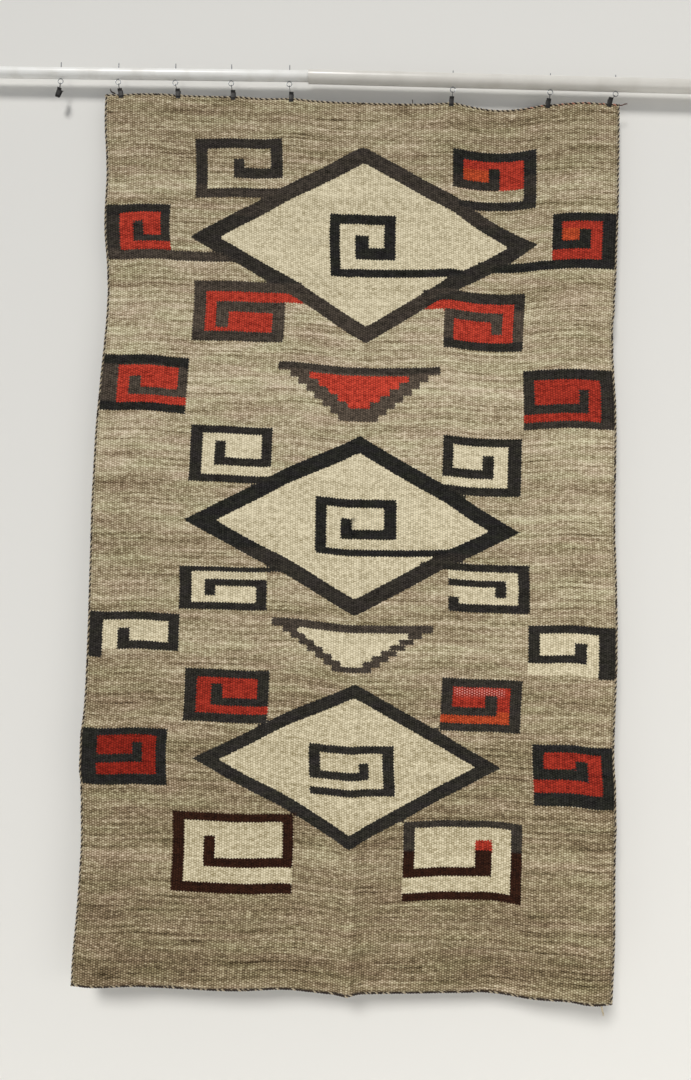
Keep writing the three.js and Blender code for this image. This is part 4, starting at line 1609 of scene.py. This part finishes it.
@dataclass
class Hanger:
    """One clip of the eight, with its screw eye through the rod and the wire loop between them."""

    number: int
    eye_x: float
    jaw_x: float
    slant: float
    loop_at: float
    rod: Rod
    cloth: HungCloth
    ring: float = 6.3
    wire: float = 1.0
    shank: float = 1.3
    shank_top: float = 51.0
    gap_to_rod: float = 0.4
    thread_pitch: float = 1.9
    thread_depth: float = 0.22
    width: float = 11.5
    sheet: float = 0.8
    pin: float = 0.9
    over_edge: float = 10.5
    loop_radius: float = 1.9
    loop_wire: float = 0.6
    thread_from: float = 22.0
    point_long: float = 3.0
    ear: tuple[float, float, float] = (0.7, 4.0, 0.25)
    ear_runs: tuple[float, float] = (3.5, -1.9)
    front_ear_at: float = 3.95
    back_ear_at: float = 5.1
    head_rise: float = 0.45
    head_long: float = 0.28
    coil: float = 1.35
    coil_wire: float = 0.3
    coil_turns: int = 4
    coil_end: float = 3.3
    empty_close: float = math.radians(6.5)
    empty_pivot: float = -45.0
    jaw_profile: tuple[tuple[float, float], ...] = (
        (5, 8), (3.1, 1.8), (3.1, -3), (3, -10.2), (1.85, -12.9), (1.85, -15))

    def eye_centre(self) -> np.ndarray:
        """The middle of the screw eye's ring, just under the rod."""
        tube = self.rod.at(self.eye_x)
        under = tube.height(self.eye_x) - tube.radius / math.cos(tube.droop)
        return np.array([self.eye_x, 0.0, under - self.gap_to_rod - self.ring - self.wire])

    @property
    def empty(self) -> bool:
        """Whether the clip hangs beside the cloth and holds nothing."""
        return self.jaw_x < self.cloth.bays[0, 0]

    def pivot(self) -> np.ndarray:
        """The middle of the jaws' pin."""
        top = float(self.cloth.top_drop(np.array(self.jaw_x)))
        return np.array([self.jaw_x, 0.0, self.empty_pivot if self.empty else self.over_edge - top])

    def placed(self, shell: Shell, close: float = 0.0) -> Shell:
        """Closes a shell by an angle about the pin, slants it, and puts it in its place.

        Args:
            shell: the shell, drawn about the pin.
            close: the angle that it is closed by.

        Returns:
            The shell in its place.
        """
        slant = math.radians(self.slant)
        shut = np.array([[1, 0, 0], [0, math.cos(close), -math.sin(close)],
                         [0, math.sin(close), math.cos(close)]])
        lean = np.array([[math.cos(slant), 0, math.sin(slant)], [0, 1, 0],
                         [-math.sin(slant), 0, math.cos(slant)]])
        return shell[0] @ (lean @ shut).T + self.pivot(), shell[1]

    def screw_eye(self) -> list[Shell]:
        """The ring, and the shank: a bar whose radius has a thread cut in its upper half and a point.

        Returns:
            The two shells.
        """
        angle = 2 * math.pi * np.arange(56) / 56
        zero = np.zeros_like(angle)
        hoop = np.stack([self.ring * np.cos(angle), zero, self.ring * np.sin(angle)], -1)
        ring = carried(circle(self.wire, 14), hoop, closed=True)
        up = np.linspace(self.ring, self.shank_top, 190)
        line = np.stack([0 * up, 0 * up, up], -1)
        shank, faces = carried(circle(1.0, 16), line, facing=(1.0, 0.0, 0.0))
        turn = np.arctan2(shank[:, 1], shank[:, 0])
        height = shank[:, 2]
        tooth = np.abs(((height / self.thread_pitch - turn / (2 * math.pi)) % 1.0) * 2 - 1)
        cut = self.thread_depth * tooth * smooth((height - self.thread_from) / 2.0)
        point = np.clip((self.shank_top - height) / self.point_long, 0.12, 1.0)
        shank[:, :2] *= ((self.shank - cut) * point)[:, None]
        centre = self.eye_centre()
        return [(ring[0] + centre, ring[1]), (shank + centre, faces)]

    def wire_loop(self) -> Shell:
        """The loop from the pin to the ring: two half circles and two straights, of round wire.

        Returns:
            The loop.
        """
        pin = self.placed((np.array([[self.loop_at, 0.0, 0.0]]), []))[0][0]
        centre = self.eye_centre()
        reach = pin - centre
        far = centre + reach / np.linalg.norm(reach) * self.ring
        ahead = (far - pin) / np.linalg.norm(far - pin)
        length = float(np.linalg.norm(far - pin))
        half = np.linspace(0.0, math.pi, 15)
        low = np.stack([np.cos(math.pi + half), np.sin(math.pi + half)], -1) * self.loop_radius
        high = np.stack([np.cos(half), np.sin(half)], -1) * self.loop_radius + np.array([0.0, length])
        flat = np.concatenate([low, high])
        path = pin + flat[:, :1] * np.array([0.0, 1.0, 0.0]) + flat[:, 1:] * ahead
        side = np.cross(ahead, np.array([0.0, 1.0, 0.0]))
        return carried(circle(self.loop_wire, 10), path, closed=True, facing=tuple(side))

    def jaw(self, side: int) -> list[Shell]:
        """A jaw: a bar of bent sheet carried down its profile, its bends eased, and its two ears.

        Args:
            side: -1 for the front jaw and 1 for the back one.

        Returns:
            The bar and the ears, drawn about the pin.
        """
        knots = np.array(self.jaw_profile, float)
        reach = np.r_[0.0, np.cumsum(np.linalg.norm(np.diff(knots, axis=0), axis=1))]
        at = np.linspace(0.0, reach[-1], 60)
        out, up = np.interp(at, reach, knots[:, 0]), np.interp(at, reach, knots[:, 1])
        ease = np.hanning(9) / np.hanning(9).sum()
        out = np.convolve(np.pad(out, 4, mode="edge"), ease, "valid")
        path = np.stack([0 * at, side * (out + self.sheet / 2), up], -1)
        plate = carried(rounded_bar(self.width, self.sheet, 0.3), path, facing=(1.0, 0.0, 0.0))
        place = self.front_ear_at if side < 0 else self.back_ear_at
        ears = []
        for x in (-place, place):
            line = np.array([[x, side * y, 0.0] for y in np.linspace(*self.ear_runs, 8)])
            ears.append(carried(rounded_bar(*self.ear), line, facing=(1.0, 0.0, 0.0)))
        return [plate, *ears]

    def rivet(self) -> Shell:
        """The pin: a round bar whose two ends are swollen into low heads.

        Returns:
            The pin, drawn about its own middle.
        """
        x = np.linspace(-self.width / 2 - 0.3, self.width / 2 + 0.3, 41)
        head = np.exp(-(((np.abs(x) - self.width / 2) / self.head_long) ** 2))
        line = np.stack([x, 0 * x, 0 * x], -1)
        return carried(circle(self.pin, 14), line, 1.0 + self.head_rise * head)

    def spring(self) -> Shell:
        """The coil of wire round the pin beside the loop, its two legs down the jaws.

        Returns:
            The spring, drawn about the pin.
        """
        low, high = -self.coil_end, self.loop_at - 1.0
        if self.loop_at <= 0:
            low, high = self.loop_at + 1.0, self.coil_end
        turn = np.linspace(0.0, 2 * math.pi * self.coil_turns, 26 * self.coil_turns)
        along = np.linspace(low, high, len(turn))
        coil = np.stack([along, self.coil * np.cos(turn), self.coil * np.sin(turn)], -1)
        leg = np.linspace(0.0, 1.0, 8)[1:, None]
        first = coil[0] + leg * np.array([0.0, 1.1, -6.0])
        last = coil[-1] + leg * np.array([0.0, -3.6, -6.0])
        path = np.concatenate([first[::-1], coil, last])
        return carried(circle(self.coil_wire, 7), path, facing=(1.0, 0.05, 0.02))

    def build(self, steel: bpy.types.Material, black: bpy.types.Material) -> list[bpy.types.Object]:
        """Makes the screw eye, the wire loop, and the two jaws with their pin and spring.

        Args:
            steel: the screw eye's metal.
            black: the clip's metal.

        Returns:
            Their objects.
        """
        close = self.empty_close if self.empty else 0.0
        tag = f"clip_{self.number}"
        pieces = []
        points, faces, _ = joined(self.screw_eye())
        pieces.append(new_piece(f"screw_eye_{self.number}_threaded", points, faces, steel, "eye_steel",
                                [f"screw_eye_{self.number}"]))
        loop = self.wire_loop()
        pieces.append(new_piece(f"{tag}_loop_bent_wire", *loop, black, "clip_black", [f"{tag}_wire_loop"]))
        front = [self.placed(shell, close) for shell in self.jaw(-1)]
        points, faces, _ = joined(front)
        pieces.append(new_piece(f"{tag}_front_pressed", points, faces, black, "clip_black",
                                [f"{tag}_front_jaw"]))
        back = [self.placed(shell, -close) for shell in [*self.jaw(1), self.rivet(), self.spring()]]
        points, faces, _ = joined(back)
        pieces.append(new_piece(f"{tag}_back_pressed", points, faces, black, "clip_black",
                                [f"{tag}_back_jaw"]))
        return pieces


@dataclass
class Studio:
    """The plain pale room: a floor that curves up behind the rug, soft lights, and the camera."""

    behind: float = 0.035
    lean: float = 0.024
    floor: float = -2.85
    front: float = -3.2
    half_wide: float = 3.4
    top: float = 1.4
    bend: float = 0.3
    paint: str = "e6e5e2"
    camera_at: tuple[float, float, float] = (0.02013, -1.987, -1.26017)
    pitch: float = 2.7
    roll: float = 1.33
    yaw: float = 1.0
    focal_px: float = 811.0
    picture_tall_px: int = 1080
    sensor: float = 36.0
    sky: str = "f2f5f8"
    sky_strength: float = 0.32

    def backdrop(self) -> bpy.types.Object:
        """Makes the floor and backdrop as one sheet, clear from behind so that other views see past it.

        The backdrop leans: it lies "behind" behind the rod, and further by "lean" for each metre down.

        Returns:
            The sheet's object.
        """
        finish, tree, shader = new_finish("matt_white_paint_rolled")
        feed(shader, {"Base Color": self.paint, "Roughness": 0.9})
        behind = add_node(tree, "NewGeometry", out="Backfacing")
        clear = add_node(tree, "BsdfTransparent")
        surface = add_node(tree, "MixShader", {0: behind, 1: shader.outputs[0], 2: clear})
        feed(tree.nodes["Material Output"], {"Surface": surface})
        turn = np.linspace(0.0, math.pi / 2, 16)
        foot = self.behind - self.lean * (self.floor + self.bend)
        curve = np.stack([foot - self.bend + self.bend * np.sin(turn),
                          self.floor + self.bend - self.bend * np.cos(turn)], -1)
        line = np.concatenate([[[self.front, self.floor]], curve,
                               [[self.behind - self.lean * self.top, self.top]]])
        left = np.column_stack([np.full(len(line), -self.half_wide), line])
        right = np.column_stack([np.full(len(line), self.half_wide), line])
        at = np.arange(len(line) - 1)
        faces = np.stack([at, at + len(line), at + len(line) + 1, at + 1], -1)
        mesh = bpy.data.meshes.new("studio_backdrop")
        mesh.from_pydata(np.concatenate([left, right]).tolist(), [], faces.tolist())
        mesh.polygons.foreach_set("use_smooth", np.ones(len(mesh.polygons), bool))
        mesh.materials.append(finish)
        sheet = bpy.data.objects.new("studio_backdrop", mesh)
        bpy.context.scene.collection.objects.link(sheet)
        return sheet

    def lamp(self, name: str, kind: str, watts: float, place: tuple[float, float, float],
             aim: tuple[float, float, float], hue: str, **sizes) -> None:
        """Adds a lamp.

        Args:
            name: its name.
            kind: its kind.
            watts: its power.
            place: where it stands.
            aim: the point that it shines on.
            hue: its colour.
            sizes: its sizes, by name.
        """
        light = bpy.data.lights.new(name, kind)
        light.energy, light.color = watts, linear(hue)[:3]
        for size, value in sizes.items():
            setattr(light, size, value)
        lamp = bpy.data.objects.new(name, light)
        lamp.location = place
        lamp.rotation_euler = (Vector(aim) - Vector(place)).to_track_quat("-Z", "Y").to_euler()
        bpy.context.scene.collection.objects.link(lamp)

    def light(self) -> None:
        """Adds far ceiling light from the upper left, a broad low lamp from the right, and a pale sky."""
        self.lamp("ceiling_light", "SUN", 2.0, (-1.3, -4.0, 3.2), (0.0, 0.0, 0.0), "fffdf9",
                  angle=math.radians(16.0))
        self.lamp("low_front_lamp", "AREA", 24.0, (2.7, -3.2, -1.5), (0.9, 0.0, -1.6), "fffaf2",
                  shape="RECTANGLE", size=2.6, size_y=1.4)
        world = bpy.data.worlds.new("pale_sky")
        bpy.context.scene.world = world
        world.use_nodes = True
        feed(world.node_tree.nodes["Background"], {"Color": self.sky, "Strength": self.sky_strength})
        bpy.context.scene.view_settings.view_transform = "Standard"

    def camera(self) -> None:
        """Adds the camera at the photograph's viewing angle."""
        camera = bpy.data.objects.new("camera", bpy.data.cameras.new("camera"))
        camera.data.sensor_width = self.sensor
        camera.data.lens = self.sensor * self.focal_px / self.picture_tall_px
        turned = (Matrix.Rotation(math.radians(self.yaw), 4, "Z")
                  @ Matrix.Rotation(math.radians(90 + self.pitch), 4, "X")
                  @ Matrix.Rotation(math.radians(self.roll), 4, "Z"))
        camera.matrix_world = Matrix.Translation(Vector(self.camera_at)) @ turned
        bpy.context.scene.collection.objects.link(camera)
        bpy.context.scene.camera = camera

    def build(self) -> None:
        """Sets up the whole room."""
        self.camera()
        self.backdrop()
        self.light()


def main() -> None:
    """Builds the studio, the rug and its hanging gear."""
    logging.basicConfig(level=logging.INFO, format="%(name)s: %(message)s")
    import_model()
    Studio().build()

    wool, yarn = WovenWool().material(), PliedYarn().material()
    thin_pipe = WhitePipe("white_plastic_pipe_extruded", "f6f6f4", "cfcbc2").material()
    # The wide tube's plastic is the same white plastic painted darker: painted shade.
    wide_pipe_painted_shade = WhitePipe("white_plastic_pipe_extruded_painted_shade", "dedbd5", "cbc7bf").material()
    zinc = WireMetal("zinc_plated_wire_bent", "a6a9ad", "6a6d71", 1.0, (0.22, 0.45), 3.0).material()
    black = WireMetal("spring_steel_blackened", "0a0909", "1e1b1a", 0.3, (0.4, 0.65), 2.0).material()

    cloth = HungCloth()
    weave = cloth.build(Pattern(), wool)
    edges = EdgeCords(cloth)
    cords = edges.build(yarn)
    ends = [
        LooseEnd("corner_tail_left", Edge.TOP, -623, Leaves.UP,
                 ((-2, 0, 2.6), (-7, -1, 4.5), (-11, -1, 8), (-13, -1, 14)), 1.8, 0.0),
        LooseEnd("corner_tail_right", Edge.TOP, 700, Leaves.END,
                 ((6, 0, 0.5), (12, -1, 2.5), (19, -2, 3.5)), 1.4, 0.0, 0.5),
        LooseEnd("edge_thread", Edge.TOP, 128, Leaves.UP,
                 ((0.3, 0, 4), (0, -0.5, 8), (-1, -0.5, 11)), 1.1, 0.0),
        LooseEnd("hem_wisp", Edge.HEM, 614, Leaves.DOWN,
                 ((1, -0.5, -7), (3, -0.5, -15), (4, 0, -22)), 2.1, 1.0, slot="loose_yarn"),
    ]
    loose = [end.build(edges, yarn) for end in ends]
    rod = Rod()
    rod.build(thin_pipe, wide_pipe_painted_shade)
    rows = [(-764, -766, 20, 0), (-617, -610, -10, -2), (-472, -464, -2, -2), (-330, -324, 0, -2),
            (-183, -177, 1, -2), (229, 226, 3, 1), (473, 468, 8, 2), (636, 622, 13, 2)]
    for number, row in enumerate(rows, 1):
        Hanger(number, *row, rod=rod, cloth=cloth).build(zinc, black)


if __name__ == "__main__":
    main()
